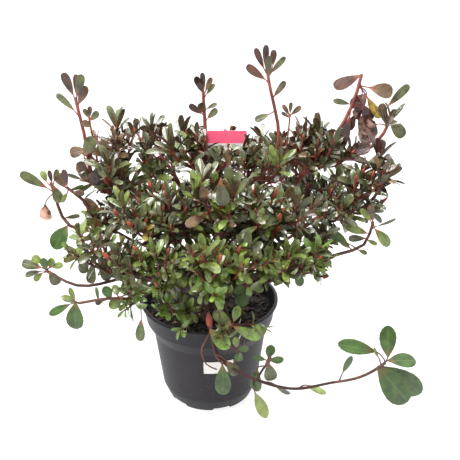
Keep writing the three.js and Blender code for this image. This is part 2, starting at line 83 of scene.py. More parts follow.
# The camera: how far down it looks, in degrees, how far off it is and what it looks at, its lens
# and film in millimetres, and the rise of its lines of sight over the way to it.
CAMERA = {
    "pitch": 24.95, "distance": 0.950, "aim": [0.02847, 0, 0.2513], "lens": 55.84, "film": 36,
    "slope": 0.465,
}

# The trunk's tip, as a place.
TRUNK_TIP = [45, 8, 192]

# Boughs: the limb that each leaves and how far along it, its tip, how far its middle stands over
# the straight line, the radius at its root, and places on its way.
BOUGHS = {
    "left_high": ("trunk", 0.74, [168, 84, 292], -14, 4.2),
    "left_low": ("trunk", 0.42, [203, 108, 205], 8, 4),
    "front_left": ("trunk", 0.62, [230, 52, 238], -10, 3.6),
    "front": ("trunk", 0.8, [286, 42, 250], -10, 3.8),
    "right_low": ("trunk", 0.4, [347, 122, 207], -6, 4.2),
    "right_high": ("trunk", 0.82, [16, 118, 298], -20, 4.4),
    "back_right": ("trunk", 0.66, [46, 88, 272], -16, 3.8),
    "back_left": ("trunk", 0.85, [124, 70, 285], -16, 4),
    "left_outer": ("left_high", 0.35, [178, 122, 246], -8, 3),
    "left_trailing": ("left_low", 0.3, [211, 104, 176], 8, 2.8),
    "front_left_low": ("front_left", 0.3, [243, 72, 204], -4, 2.8),
    "pot_edge": ("trunk", 0.2, [240, 50, 158], 4, 2.4),
    "front_low": ("front", 0.3, [278, 72, 212], -4, 2.8),
    "front_right": ("front", 0.4, [318, 68, 246], -6, 2.8),
    "front_right_low": ("right_low", 0.3, [311, 84, 208], -4, 3),
    "right_outer": ("right_high", 0.35, [356, 128, 262], -10, 3),
    "centre": ("right_high", 0.3, [22, 46, 300], 6, 3.2),
    "crown": ("back_left", 0.4, [98, 30, 300], 8, 3),
    "back": ("back_right", 0.35, [84, 84, 262], -6, 3),
    "back_left_low": ("back_left", 0.25, [138, 106, 214], -4, 3),
    "back_low": ("back", 0.3, [94, 106, 206], -2, 2.4),
    "back_right_low": ("back_right", 0.3, [36, 112, 222], -6, 2.8),
    "front_sprig": ("trunk", 0.3, [285, 110, 176], 0, 2.4, [[288, 60, 178]]),
    "trailing_upper": (
        "trunk", 0.22, [281, 129, 124], 0, 2.6, [[268, 60, 166], [272, 100, 166], [275, 116, 140]],
    ),
    "trailing_lower": (
        "trailing_upper", 1, [316, 216, 116], 0, 1.9, [[293, 154, 114], [305, 184, 107]],
    ),
    "trailing_spur": ("trailing_lower", 0.3, [297, 160, 136], 2, 1.5),
}

# How much of its radius a bough keeps at its tip, and how much the trailing shoot keeps.
BOUGH_TAPER, TRAILING_TAPER = 0.55, 0.85

# Foliage, by the limb that it grows from: how strongly its shoots, twigs and leaves turn up, how
# full it is of twigs, and where each leading shoot ends. Above the share that a fourth number
# gives, a shoot has no twigs, and places after it are on the shoot's way.
FOLIAGE = {
    "trunk": (0.8, 1.3, [[300, 40, 296], [170, 44, 286], [50, 30, 292]]),
    "left_high": (1, 1, [
        [173, 167, 425, 0.3, [175, 146, 311], [174, 158, 375]], [160, 128, 380], [148, 98, 346],
        [186, 124, 346],
    ]),
    "left_outer": (0.9, 0.7, [
        [178, 205, 316, 0.1, [179, 186, 257]], [192, 178, 327, 0.3, [190, 159, 305]],
    ]),
    "left_low": (0.5, 0.45, [[195, 214, 219, 0.1, [200, 175, 200]], [206, 172, 280], [190, 150, 266]]),
    "left_trailing": (0.5, 0.35, [[207, 183, 188, 0.1, [211, 145, 190]], [222, 132, 218]]),
    "front_left": (0.9, 1, [[246, 104, 334], [220, 128, 322], [262, 76, 335]]),
    "front_left_low": (0.9, 1, [[246, 142, 284], [226, 148, 272], [240, 106, 254]]),
    "pot_edge": (0.4, 0.6, [[238, 98, 188], [254, 90, 182]]),
    "front": (0.9, 1, [[288, 104, 340], [264, 56, 342], [300, 84, 300]]),
    "front_low": (0.9, 1, [[270, 162, 297], [290, 138, 282], [280, 108, 248]]),
    "front_right": (0.9, 1, [[318, 142, 326], [304, 112, 336], [330, 110, 300]]),
    "front_right_low": (0.9, 1, [[308, 158, 280], [326, 164, 268], [316, 120, 250]]),
    "right_low": (0.7, 0.6, [
        [348, 213, 283, 0.25, [343, 164, 236], [347, 204, 252]], [336, 156, 274], [352, 150, 258],
    ]),
    "right_outer": (0.9, 1, [[353, 218, 322], [2, 220, 350], [342, 176, 304]]),
    "right_high": (1, 1, [[16, 206, 446, 0.35], [6, 234, 394, 0.5], [22, 158, 366], [4, 160, 366]]),
    "centre": (1, 1, [[20, 80, 454, 0.2, [13, 92, 356]], [346, 92, 350], [40, 56, 346]]),
    "crown": (1, 1, [[96, 69, 421, 0.4, [94, 60, 357]], [150, 56, 356], [112, 92, 354], [38, 33, 346]]),
    "back_right": (0.9, 1.1, [[39, 168, 350], [55, 128, 346], [44, 130, 320]]),
    "back": (0.9, 1.2, [[77, 131, 340], [98, 122, 338]]),
    "back_left": (0.9, 1, [[130, 124, 362], [150, 96, 326]]),
    "back_left_low": (0.8, 1.3, [[141, 184, 280], [122, 176, 270], [132, 140, 256]]),
    "back_low": (0.8, 1.5, [[92, 182, 272], [76, 174, 266]]),
    "back_right_low": (0.8, 1.3, [[46, 192, 286], [26, 200, 292], [36, 150, 262]]),
    "front_sprig": (-0.1, 0.5, [[281, 126, 152], [300, 130, 172]]),
    "trailing_lower": (0.2, 0, [[326, 261, 142]]),
    "trailing_spur": (0.3, 0.3, [[298, 164, 150]]),
}

# How many of the first shoots of these have only the leaves of the list below.
PICKED = {
    "right_high": 1, "left_high": 1, "centre": 1, "crown": 1, "left_outer": 2, "left_low": 1,
    "left_trailing": 1, "right_low": 1, "front_sprig": 1, "trailing_lower": 1, "trailing_spur": 1,
}

# Stems that stand out singly, in front of the pot and over the crown: radius and places on the
# way, as x, y and z.
LOOSE_STEMS = (
    (1.1, [5, -112, 167], [-2, -120, 156], [-7, -124, 145], [-1, -128, 127], [12, -128, 119]),
    (1.0, [2, -108, 170], [6, -116, 158], [11, -124, 136], [17, -128, 129], [21, -128, 127]),
    (1.3, [101, 36, 318], [103, 40, 338], [104, 44, 358], [106, 48, 378], [107, 50, 396]),
    (1.5, [-135, 8, 300], [-141, 9, 332], [-144, 10, 360], [-147, 11, 383], [-149, 12, 402]),
)

# The largest bud, on the first of these stems: length, foot and direction.
LARGE_BUD = (0.023, [0.004, -0.113, 0.170], [-0.1, 0.05, 1])

# Leaves that stand out singly: kind, width, how far the blade is turned about its middle line
# from facing the front and up, and x, y and z of root and tip, in degrees and millimetres.
SINGLE_LEAVES = [
    # The trailing shoot.
    ("broad", 36, 0, [207, -147, 138], [252, -150, 83]),
    ("broad", 30, 10, [209, -146, 137], [273, -142, 88]),
    ("broad", 21, 0, [219, -146, 150], [217, -142, 190]),
    ("broad", 20, -30, [219, -146, 145], [258, -138, 142]),
    ("broad", 18, 10, [204, -146, 158], [158, -150, 173]),
    ("green", 6, 40, [208, -146, 149], [201, -150, 166]),
    ("broad", 12, 40, [165, -151, 131], [175, -154, 155]),
    ("fresh", 8, 170, [122, -146, 109], [146, -140, 92]),
    ("deep", 7, 30, [83, -140, 106], [104, -140, 86]),
    # Its lower end and its spur.
    ("broad", 15, 180, [60, -136, 89], [74, -138, 54]),
    ("broad", 16, 20, [62, -136, 127], [59, -138, 89]),
    ("broad", 12, 0, [75, -140, 145], [79, -140, 162]),
    ("broad", 10, 20, [76, -140, 142], [94, -142, 143]),
    ("deep", 16, 0, [75, -142, 139], [80, -146, 113]),
    ("broad", 8, -20, [72, -140, 142], [56, -140, 146]),
    # In front of the pot and its rim.
    ("broad", 21, 0, [19, -128, 126], [20, -128, 75]),
    ("deep", 14, 0, [24, -128, 132], [38, -134, 115]),
    ("broad", 10, 30, [38, -126, 147], [51, -130, 152]),
    ("broad", 11, 0, [41, -126, 144], [38, -136, 137]),
    ("green", 9, 0, [37, -126, 150], [35, -124, 164]),
    ("fresh", 18, 0, [3, -118, 172], [28, -130, 151]),
    ("fresh", 14, 20, [32, -116, 175], [65, -130, 163]),
    ("green", 15, 0, [31, -116, 175], [9, -116, 195]),
    ("fresh", 11, 0, [33, -114, 180], [39, -110, 200]),
    ("fresh", 14, 0, [15, -112, 193], [16, -106, 226]),
    ("broad", 18, 10, [48, -92, 218], [40, -106, 196]),
    # The high shoot on the right, which has wilted.
    ("bronze", 16, 180, [198, 62, 444], [162, 56, 428]),
    ("bronze", 20, 0, [210, 60, 428], [240, 52, 424]),
    ("plum", 17, 20, [201, 58, 420], [194, 52, 400]),
    ("dry", 13, 160, [204, 54, 403], [187, 50, 389]),
    ("dry", 14, 20, [200, 52, 400], [218, 48, 384]),
    ("plum", 13, 0, [185, 46, 394], [177, 42, 356]),
    ("dry", 16, 170, [207, 52, 388], [204, 46, 353]),
    ("bronze", 12, 0, [211, 52, 393], [222, 46, 365]),
    ("plum", 12, 10, [202, 50, 408], [210, 46, 392]),
    ("deep", 11, 0, [234, 50, 406], [256, 40, 436]),
    ("gold", 13, 40, [208, 58, 416], [224, 48, 389]),
    ("deep", 8, 0, [186, 56, 407], [164, 52, 414]),
    ("plum", 20, 0, [207, 58, 420], [189, 50, 404]),
    ("dry", 14, 150, [207, 56, 399], [198, 46, 364]),
    ("dry", 20, 180, [199, 54, 394], [216, 44, 354]),
    ("dry", 11, 0, [192, 50, 396], [184, 44, 372]),
    ("husk", 10, 160, [214, 46, 378], [208, 42, 352]),
    ("dry", 12, 180, [208, 52, 392], [219, 44, 377]),
    ("deep", 17, 0, [237, 48, 391], [257, 36, 369]),
    ("plum", 17, 0, [179, 30, 349], [209, 16, 362]),
    ("plum", 12, 60, [160, 40, 350], [153, 38, 384]),
    # A dry leaf far out on the left, and one leaf low on that side.
    ("husk", 16, 150, [-216, 8, 285], [-216, 4, 262]),
    ("green", 13, 0, [-88, -62, 151], [-92, -66, 115]),
    # The tallest shoot, right of the middle.
    ("plum", 8, 180, [71, 28, 459], [59, 28, 485]),
    ("plum", 8, 180, [73, 32, 459], [73, 35, 488]),
    ("plum", 8, 180, [82, 34, 462], [83, 38, 481]),
    ("deep", 9, 20, [77, 24, 449], [76, 19, 477]),
    ("deep", 7, 20, [78, 28, 453], [97, 26, 474]),
    ("bronze", 7, 0, [80, 30, 454], [94, 34, 470]),
    ("bronze", 11, 180, [73, 27, 446], [48, 24, 464]),
    ("deep", 8, 180, [83, 26, 424], [99, 22, 446]),
    ("deep", 9, 0, [79, 24, 403], [60, 20, 396]),
    # The high shoot on the left, and the short one beside it.
    ("bronze", 11, 180, [-168, 22, 427], [-178, 20, 457]),
    ("bronze", 9, 180, [-165, 26, 425], [-163, 30, 453]),
    ("deep", 11, 10, [-163, 18, 427], [-154, 14, 455]),
    ("bronze", 11, 20, [-162, 18, 417], [-150, 14, 440]),
    ("deep", 9, 20, [-168, 20, 408], [-187, 18, 432]),
    ("deep", 6, 0, [-149, 12, 401], [-154, 10, 413]),
    ("bronze", 6, 0, [-148, 12, 402], [-147, 12, 416]),
    ("deep", 9, 0, [-148, 10, 398], [-136, 8, 410]),
    ("bronze", 9, 0, [-147, 10, 390], [-157, 8, 398]),
    # The high shoot left of the middle.
    ("plum", 9, 180, [-7, 69, 420], [-18, 67, 442]),
    ("plum", 7, 180, [-6, 72, 421], [-8, 74, 445]),
    ("bronze", 7, 0, [-4, 66, 421], [4, 64, 440]),
    ("deep", 6, 0, [-3, 66, 417], [8, 64, 432]),
    ("plum", 7, 0, [-6, 60, 421], [-13, 56, 435]),
    ("plum", 9, 180, [-8, 66, 391], [-26, 64, 404]),
    ("deep", 11, 180, [-5, 66, 391], [-11, 62, 408]),
    ("deep", 6, 0, [-3, 66, 398], [11, 64, 406]),
    ("deep", 9, 0, [-2, 64, 385], [11, 62, 399]),
    ("plum", 8, 180, [18, 60, 369], [11, 60, 391]),
    # The thin stem over the crown.
    ("bronze", 6, 0, [106, 50, 394], [98, 50, 408]),
    ("bronze", 5, 0, [107, 50, 396], [108, 50, 411]),
    ("bronze", 7, 0, [108, 50, 394], [121, 50, 406]),
    ("bronze", 5, 0, [107, 48, 391], [96, 46, 399]),
    # The left side of the crown and the shoots that stand out of it.
    ("bronze", 15, 0, [-156, 10, 360], [-177, 6, 357]),
    ("deep", 17, 0, [-159, 8, 352], [-145, 2, 378]),
    ("bronze", 15, 20, [-154, 6, 341], [-169, 0, 335]),
    ("deep", 13, 0, [-210, 6, 309], [-241, 0, 332]),
    ("green", 9, 0, [-211, 10, 316], [-217, 14, 330]),
    ("plum", 6, 0, [-202, 2, 317], [-205, 4, 334]),
    ("deep", 7, 20, [-201, 8, 317], [-195, 10, 333]),
    ("deep", 14, 0, [-200, 0, 315], [-192, -6, 293]),
    ("bronze", 14, 0, [-176, -36, 326], [-184, -36, 344]),
    ("plum", 8, 0, [-173, -38, 328], [-175, -40, 351]),
    ("deep", 5, 0, [-156, -22, 331], [-174, -26, 340]),
    ("green", 6, 50, [-172, -34, 322], [-154, -30, 325]),
    ("bronze", 8, 0, [-168, -36, 320], [-153, -32, 317]),
    ("green", 6, 0, [-173, -38, 321], [-182, -42, 308]),
    ("deep", 7, 40, [-191, 4, 267], [-170, 0, 272]),
    ("broad", 23, 0, [-185, -10, 262], [-204, -22, 234]),
    ("bronze", 13, 0, [-156, 0, 322], [-163, -4, 348]),
    ("plum", 15, 0, [-136, -10, 311], [-146, -14, 339]),
    ("bronze", 12, 0, [-138, -20, 289], [-157, -24, 304]),
    # The two low shoots on the left.
    ("green", 11, 0, [-211, -52, 229], [-224, -52, 238]),
    ("deep", 13, 0, [-212, -54, 223], [-238, -54, 231]),
    ("green", 9, 0, [-211, -56, 217], [-225, -58, 206]),
    ("deep", 9, 20, [-215, -50, 216], [-238, -48, 209]),
    ("green", 9, 0, [-201, -52, 223], [-186, -50, 226]),
    ("broad", 11, 0, [-207, -56, 221], [-208, -58, 239]),
    ("green", 10, 0, [-204, -50, 221], [-198, -52, 235]),
    ("deep", 14, 0, [-202, -58, 221], [-192, -62, 202]),
    ("broad", 11, 0, [-174, -82, 186], [-204, -86, 172]),
    ("broad", 23, 0, [-166, -84, 190], [-171, -90, 149]),
    ("green", 9, 10, [-165, -82, 188], [-185, -80, 197]),
    ("green", 7, 0, [-167, -84, 192], [-172, -84, 210]),
    ("fresh", 5, 30, [-139, -76, 188], [-140, -76, 207]),
    ("broad", 13, 0, [-123, -74, 189], [-130, -76, 207]),
    ("green", 14, 0, [-108, -70, 191], [-127, -74, 175]),
    ("green", 8, 0, [-133, -76, 187], [-143, -78, 185]),
    ("deep", 8, 0, [-101, -66, 194], [-83, -66, 202]),
    ("green", 10, 0, [-115, -70, 191], [-118, -72, 207]),
    # The front of the crown, and the low shoot on the right.
    ("deep", 15, 0, [17, -112, 365], [22, -118, 336]),
    ("bronze", 10, 0, [208, -44, 283], [203, -46, 306]),
    ("green", 8, 0, [205, -46, 285], [192, -48, 302]),
    ("deep", 6, 50, [213, -42, 276], [239, -40, 284]),
    ("green", 14, 0, [211, -46, 274], [234, -50, 251]),
    ("green", 11, 0, [201, -50, 270], [174, -54, 281]),
    ("deep", 9, 0, [200, -50, 263], [178, -54, 265]),
    ("green", 6, 0, [202, -46, 259], [217, -46, 252]),
    ("broad", 13, 0, [177, -52, 257], [153, -56, 275]),
    ("green", 8, 0, [181, -50, 249], [168, -52, 262]),
    ("green", 6, 0, [191, -50, 247], [204, -50, 241]),
    ("broad", 15, 0, [112, -84, 265], [128, -88, 231]),
    ("broad", 12, 0, [111, -84, 235], [117, -86, 213]),
    ("green", 11, 0, [134, -78, 252], [155, -80, 241]),
    # The crown round the tag.
    ("deep", 10, 0, [19, 14, 336], [4, 18, 361]),
    ("bronze", 9, 0, [25, 14, 335], [27, 18, 358]),
    ("bronze", 8, 0, [38, 18, 335], [40, 22, 356]),
    ("deep", 8, 30, [55, 30, 353], [27, 34, 358]),
    ("deep", 12, 0, [30, -10, 315], [26, -6, 342]),
    ("green", 10, 0, [14, -10, 318], [6, -8, 339]),
    # A rosette over the rim.
    ("green", 8, 0, [50, -92, 225], [45, -92, 238]),
    ("broad", 8, 0, [51, -92, 225], [64, -92, 236]),
    ("green", 10, 0, [52, -94, 223], [70, -98, 214]),
    ("green", 9, 0, [47, -94, 223], [33, -96, 228]),
    ("broad", 9, 0, [47, -96, 221], [34, -100, 212]),
    ("fresh", 8, 0, [50, -96, 220], [53, -100, 207]),
    ("green", 6, 0, [50, -90, 226], [56, -88, 238]),
    # The left side, low.
    ("deep", 14, 0, [-159, -30, 237], [-166, -40, 205]),
    ("green", 12, 10, [-162, -30, 247], [-174, -40, 226]),
    ("deep", 13, 0, [-149, -40, 224], [-154, -50, 196]),
    ("deep", 14, 0, [-137, -50, 232], [-128, -60, 207]),
    ("deep", 14, 30, [-141, -40, 247], [-134, -55, 223]),
    ("green", 10, 0, [-157, -20, 252], [-171, -30, 245]),
    ("bronze", 12, 0, [-151, -20, 258], [-142, -35, 243]),
    ("bronze", 12, 0, [-147, -20, 249], [-141, -30, 279]),
    ("green", 10, 0, [-162, -20, 256], [-154, -24, 278]),
    ("plum", 9, 0, [-154, -30, 237], [-138, -40, 230]),
    ("green", 10, 0, [-167, -30, 237], [-181, -36, 234]),
    ("deep", 11, 0, [-121, -60, 235], [-111, -70, 213]),
    # The right side, low.
    ("green", 11, 0, [117, -50, 252], [111, -50, 275]),
    ("deep", 13, 0, [125, -50, 252], [130, -50, 276]),
    ("green", 10, 0, [121, -50, 259], [137, -54, 258]),
    ("deep", 11, 0, [116, -50, 261], [121, -50, 281]),
]

# Leaf kinds: upper and lower colour, roughness, how patchy the colour is, how pointed the tip is,
# as the power of the share that is left to it, and how much gloss lies over it.
LEAF_KINDS = {
    "fresh": ("#6d8a37", "#8b995c", 0.22, 0.28, 0.54, 0.75),
    "green": ("#5f6e30", "#7d7848", 0.20, 0.3, 0.54, 0.75),
    "deep": ("#4d5131", "#625139", 0.18, 0.3, 0.42, 0.75),
    "bronze": ("#5c462e", "#583a2c", 0.18, 0.3, 0.42, 0.75),
    "plum": ("#3f2825", "#442822", 0.26, 0.35, 0.42, 0.75),
    "gold": ("#a89040", "#b3a468", 0.50, 0.25, 0.5, 0.75),
    "dry": ("#46322b", "#5d4339", 0.62, 0.5, 0.5, 0.1),
    "husk": ("#7f6050", "#967362", 0.7, 0.3, 0.5, 0.1),
    "broad": ("#3f5a26", "#7c8850", 0.24, 0.17, 0.6, 0.35),
}
KINDS = list(LEAF_KINDS)
WITHERED = [KINDS.index(kind) for kind in ("dry", "husk")]

# Grains: the scale of the colours' patches and of the grain, how much the grain darkens, roughness
# and its spread, and the height and strength of the grain's bump.
MOULDED = (14, 260, 0.18, 0.42, 0.14, 0.0005, 0.2)
PEAT = (120, 900, 0.6, 0.82, 0.12, 0.0015, 0.5)
CRUMB = (200, 1500, 0.4, 0.8, 0.1, 0.0005, 0.5)
GLOSSY_SHEET = (40, 600, 0.06, 0.32, 0.1, 0.0002, 0.2)
DULL_SHEET = (40, 600, 0.06, 0.4, 0.1, 0.0002, 0.2)
PAPER = (60, 800, 0.08, 0.62, 0.1, 0.0002, 0.2)
ROUGH_BARK = (60, 900, 0.55, 0.72, 0.2, 0.0012, 0.5)
FINE_BARK = (80, 1200, 0.35, 0.5, 0.15, 0.0004, 0.5)
SCALES = (150, 1500, 0.3, 0.45, 0.1, 0.0003, 0.5)

# Finishes: two colours that lie in patches, and the grain.
FINISHES = {
    "pot_plastic": ("#2b282e", "#232026", MOULDED),
    "soil": ("#2a201c", "#171210", PEAT),
    "chip_dark": ("#33261f", "#1e1714", CRUMB),
    "chip_brown": ("#533a2b", "#37261e", CRUMB),
    "chip_straw": ("#a5834f", "#7c6038", CRUMB),
    "chip_pale": ("#bcb5a8", "#948d80", CRUMB),
    "tag_pink": ("#ff7092", "#fb5f84", GLOSSY_SHEET),
    "tag_white": ("#f0ece9", "#e2dcd8", DULL_SHEET),
    "sticker_paper": ("#f1efec", "#e6e2dc", PAPER),
    "bark": ("#6b4c3a", "#3f2b22", ROUGH_BARK),
    "young": ("#4c2b22", "#2e1915", ROUGH_BARK),
    "twig_red": ("#934533", "#673025", FINE_BARK),
    "twig_brown": ("#704334", "#452820", FINE_BARK),
    "bud": ("#ae4c37", "#82362a", SCALES),
}

# Bark chips and crumbs on the soil: how many, and the lengths of the shortest and the longest.
CHIPS = {
    "dark": (620, (0.002, 0.008)),
    "brown": (190, (0.003, 0.010)),
    "straw": (46, (0.002, 0.007)),
    "pale": (34, (0.0012, 0.0026)),
}

# Samples along each shoot, twig and petiole, and the rows and columns of points on a leaf blade
# as shares from root to tip and from the middle line to the edges.
SAMPLES = 9
SHARES = np.linspace(0, 1, SAMPLES)
ROWS = np.array([0, 0.1, 0.25, 0.42, 0.6, 0.76, 0.89, 0.97])
COLUMNS = np.array([-1, -0.55, 0, 0.55, 1])

# The most triangles in one piece of leaves.
MOST_TRIANGLES = 190000


def unit(vectors):
    """Vectors scaled to length one."""
    return vectors / np.maximum(np.linalg.norm(vectors, axis=-1, keepdims=True), 1e-12)


def part_way(value, start, end):
    """How far a value has come on the way from a start to an end, from 0 to 1."""
    return np.clip((value - start) / (end - start), 0, 1)


def placed(place):
    """A place as a point: heading and reach turned into x and y."""
    heading, reach, height = place[:3]
    turn = np.radians(heading)
    return np.array([reach * np.cos(turn), reach * np.sin(turn), height]) * MM


def spun(x, y, turn):
    """Two coordinates turned round the third axis by an angle."""
    return x * np.cos(turn) - y * np.sin(turn), x * np.sin(turn) + y * np.cos(turn)


def linear(colour):
    """A hex colour as the linear red, green, blue and alpha that a shader takes."""
    value = np.array([int(colour[i:i + 2], 16) for i in (1, 3, 5)]) / 255
    value = np.where(value <= 0.04045, value / 12.92, ((value + 0.055) / 1.055) ** 2.4)
    return (*value, 1.0)


def shaded(colour, factor):
    """A hex colour made lighter or darker by a factor."""
    value = [min(255, round(int(colour[i:i + 2], 16) * factor)) for i in (1, 3, 5)]
    return "#%02x%02x%02x" % tuple(value)


def noise(points, size, seed=0):
    """Smooth chance from -1 to 1: random values on a lattice of a given size, mixed between the
    eight corners of each cell by the smooth step of the point's place in it. A corner's value is
    its whole numbers times large primes, scrambled, of which sixteen bits are kept."""
    primes, scramble, bits = np.array([374761393, 668265263, 2147483647]), 1274126177, 0xFFFFFFFF
    scaled = np.asarray(points) / size
    cell = np.floor(scaled).astype(np.int64)
    part = scaled - cell
    part = part * part * (3 - 2 * part)
    total = np.zeros(scaled.shape[:-1])
    for corner in np.ndindex(2, 2, 2):
        key = (((cell + corner) * primes).sum(-1) + seed * scramble) & bits
        key = ((key ^ (key >> 13)) * scramble) & bits
        value = ((key ^ (key >> 16)) & 0xFFFF) / 32767.5 - 1
        total += value * np.prod(np.where(corner, part, 1 - part), axis=-1)
    return total


class Path:
    """A way through space, read by the share of its length: the given function of a parameter is
    measured at 201 steps, and a share is turned into a parameter between them."""

    def __init__(self, at):
        self.at = at
        self.steps = np.linspace(0, 1, 201)
        strides = np.linalg.norm(np.diff(at(self.steps), axis=0), axis=1)
        self.run = np.concatenate([[0], np.cumsum(strides)])
        self.length = self.run[-1]

    def point(self, share):
        """Points at shares of the length."""
        return self.at(np.interp(np.atleast_1d(share) * self.length, self.run, self.steps))

    def tangent(self, share):
        """Directions at shares of the length."""
        step = np.interp(np.atleast_1d(share) * self.length, self.run, self.steps)
        ahead, behind = np.minimum(step + 1e-4, 1), np.maximum(step - 1e-4, 0)
        return unit(self.at(ahead) - self.at(behind))


def arc(*corners):
    """A Bezier arc: neighbouring corners are mixed by the parameter until one point is left."""

    def at(t):
        level = [np.broadcast_to(corner, (len(t), 3)) for corner in corners]
        while len(level) > 1:
            level = [a + (b - a) * t[:, None] for a, b in zip(level, level[1:])]
        return level[0]

    return Path(at)


def through(places):
    """A spline through places: on each stretch a cubic, whose end slopes weigh the neighbouring
    stretches by the square roots of their lengths."""
    knots = np.array(places)
    knots = np.vstack([2 * knots[0] - knots[1], knots, 2 * knots[-1] - knots[-2]])
    span = np.sqrt(np.linalg.norm(np.diff(knots, axis=0), axis=1))[:, None]
    slope = np.diff(knots, axis=0) / span
    stretches = len(knots) - 3

    def at(t):
        number = np.minimum((t * stretches).astype(int), stretches - 1)
        part = (t * stretches - number)[:, None]
        before, start, end, after = (knots[number + i] for i in range(4))
        before_span, own_span, after_span = (span[number + i] for i in range(3))
        over_start = (end - before) / (before_span + own_span)
        over_end = (after - start) / (own_span + after_span)
        leave = own_span * (slope[number] - over_start + slope[number + 1])
        arrive = own_span * (slope[number + 1] - over_end + slope[number + 2])
        step = end - start
        bend = 3 * step - 2 * leave - arrive
        return start + part * (leave + part * (bend + part * (leave + arrive - 2 * step)))

    return Path(at)


def soil_height(radius):
    """The soil is lowest at the wall, and rises with the square of the way in to the trunk."""
    return SOIL["edge"] + SOIL["rise"] * (1 - (radius / SOIL["radius"]) ** 2)


def grid_faces(rows, columns, closed=False):
    """Four-cornered faces between neighbouring rows and columns of a grid of points, and, where
    it is closed, between its last column and its first."""
    wide = columns if closed else columns - 1
    row, column = np.meshgrid(np.arange(rows - 1), np.arange(wide), indexing="ij")
    after = (column + 1) % columns
    start = row * columns
    quads = [start + column, start + after, start + columns + after, start + columns + column]
    return np.stack(quads, axis=-1).reshape(-1, 4)


def fan_faces(centre, ring, turned=False):
    """Triangles from one centre point to each side of a closed ring."""
    after = np.roll(ring, -1)
    ends = (after, ring) if turned else (ring, after)
    return np.stack([np.full(len(ring), centre), *ends], axis=-1)


def repeated(faces, points_each, count):
    """The same faces for each copy of a shape, with its points numbered on."""
    shift = np.arange(count)[:, None, None] * points_each
    return (faces[None] + shift).reshape(-1, faces.shape[1])


def make_piece(name, points, face_sets, materials, nodes, face_material=None, flat=None):
    """A mesh piece from its points and from one array of faces for each number of corners, with
    a flat place for each point where its material is laid out by one. It rides on the plant's
    one body, and hides the given solids."""
    mesh = bpy.data.meshes.new(name)
    corners = np.concatenate([faces.ravel() for faces in face_sets])
    sizes = np.concatenate([np.full(len(faces), faces.shape[1]) for faces in face_sets])
    mesh.vertices.add(len(points))
    mesh.loops.add(len(corners))
    mesh.polygons.add(len(sizes))
    mesh.vertices.foreach_set("co", np.asarray(points, np.float32).ravel())
    mesh.loops.foreach_set("vertex_index", corners.astype(np.int32))
    mesh.polygons.foreach_set("loop_start", (np.cumsum(sizes) - sizes).astype(np.int32))
    mesh.update(calc_edges=True)
    mesh.polygons.foreach_set("use_smooth", np.ones(len(sizes), bool))
    for material in materials:
        mesh.materials.append(material)
    if face_material is not None:
        mesh.polygons.foreach_set("material_index", face_material.astype(np.int32))
    if flat is not None:
        layer = mesh.uv_layers.new(name="blade")
        layer.uv.foreach_set("vector", flat[corners].astype(np.float32).ravel())
    mesh.validate()
    made = bpy.data.objects.new(name, mesh)
    bpy.context.scene.collection.objects.link(made)
    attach(made, "root")
    if nodes:
        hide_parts(*nodes)
    return made


def sharp_edges(made, degrees):
    """Edges that turn by more than an angle stay sharp on a smooth mesh."""
    made.data.set_sharp_from_angle(angle=np.radians(degrees))


def tubes(paths, radii, sides, relief=None):
    """Round stems: a ring of points about each sample of each path, on two lines across it that
    don't turn along the stem, and one more point that closes each end. The first of them stands
    on the plane that the stem bends in. Gives points and faces."""
    count, steps = paths.shape[:2]
    along = unit(np.gradient(paths, axis=1))
    chord = unit(paths[:, -1] - paths[:, 0])
    least = np.eye(3)[np.abs(chord).argmin(axis=1)]
    bend = np.cross(along[:, :-1], along[:, 1:]).sum(axis=1)
    straight = np.linalg.norm(bend, axis=1, keepdims=True) < 0.3
    across = unit(np.where(straight, np.cross(chord, least), bend))[:, None]
    normal = unit(across - along * (along * across).sum(-1, keepdims=True))
    other = np.cross(along, normal)
    turn = np.linspace(0, 2 * np.pi, sides, endpoint=False)
    wide = radii[:, :, None]
    if relief is not None:
        wide = wide * relief(paths, turn)
    out = normal[:, :, None] * np.cos(turn)[:, None] + other[:, :, None] * np.sin(turn)[:, None]
    rings = paths[:, :, None] + wide[..., None] * out
    tips = paths[:, -1:] + along[:, -1:] * radii[:, -1:, None] * 0.6
    points = np.concatenate([rings.reshape(count, -1, 3), tips, paths[:, :1]], axis=1)
    each = steps * sides + 2
    quads = grid_faces(steps, sides, closed=True)
    last = np.arange(sides) + (steps - 1) * sides
    ends = [fan_faces(each - 2, last), fan_faces(each - 1, np.arange(sides), turned=True)]
    faces = [repeated(quads, each, count), repeated(np.vstack(ends), each, count)]
    return points.reshape(-1, 3), faces


def new_group(name, inputs, outputs):
    """An empty shader node group with named sockets."""
    group = bpy.data.node_groups.new(name, "ShaderNodeTree")
    for label, (kind, value) in inputs.items():
        socket = group.interface.new_socket(label, in_out="INPUT", socket_type=kind)
        socket.default_value = value
    for label, kind in outputs.items():
        group.interface.new_socket(label, in_out="OUTPUT", socket_type=kind)
    return group


def node(tree, kind, inputs=None, **settings):
    """A node with its settings, and its inputs set to values or linked from other sockets."""
    made = tree.nodes.new(kind)
    for label, value in settings.items():
        setattr(made, label, value)
    for label, value in (inputs or {}).items():
        if isinstance(value, bpy.types.NodeSocket):
            tree.links.new(value, made.inputs[label])
        else:
            made.inputs[label].default_value = value
    return made


def maths(tree, operation, *values):
    """What a Math node makes of values and sockets."""
    return node(tree, "ShaderNodeMath", dict(enumerate(values)), operation=operation).outputs[0]


def ramp(tree, value, low, high, start=0.0, end=1.0):
    """A value led evenly from one range to another, and held at its ends."""
    span = {"Value": value, "From Min": low, "From Max": high, "To Min": start, "To Max": end}
    return node(tree, "ShaderNodeMapRange", span).outputs["Result"]


def clouds(tree, place, scale, detail):
    """Cloudy noise at a place."""
    given = {"Vector": place, "Scale": scale, "Detail": detail}
    return node(tree, "ShaderNodeTexNoise", given).outputs["Fac"]


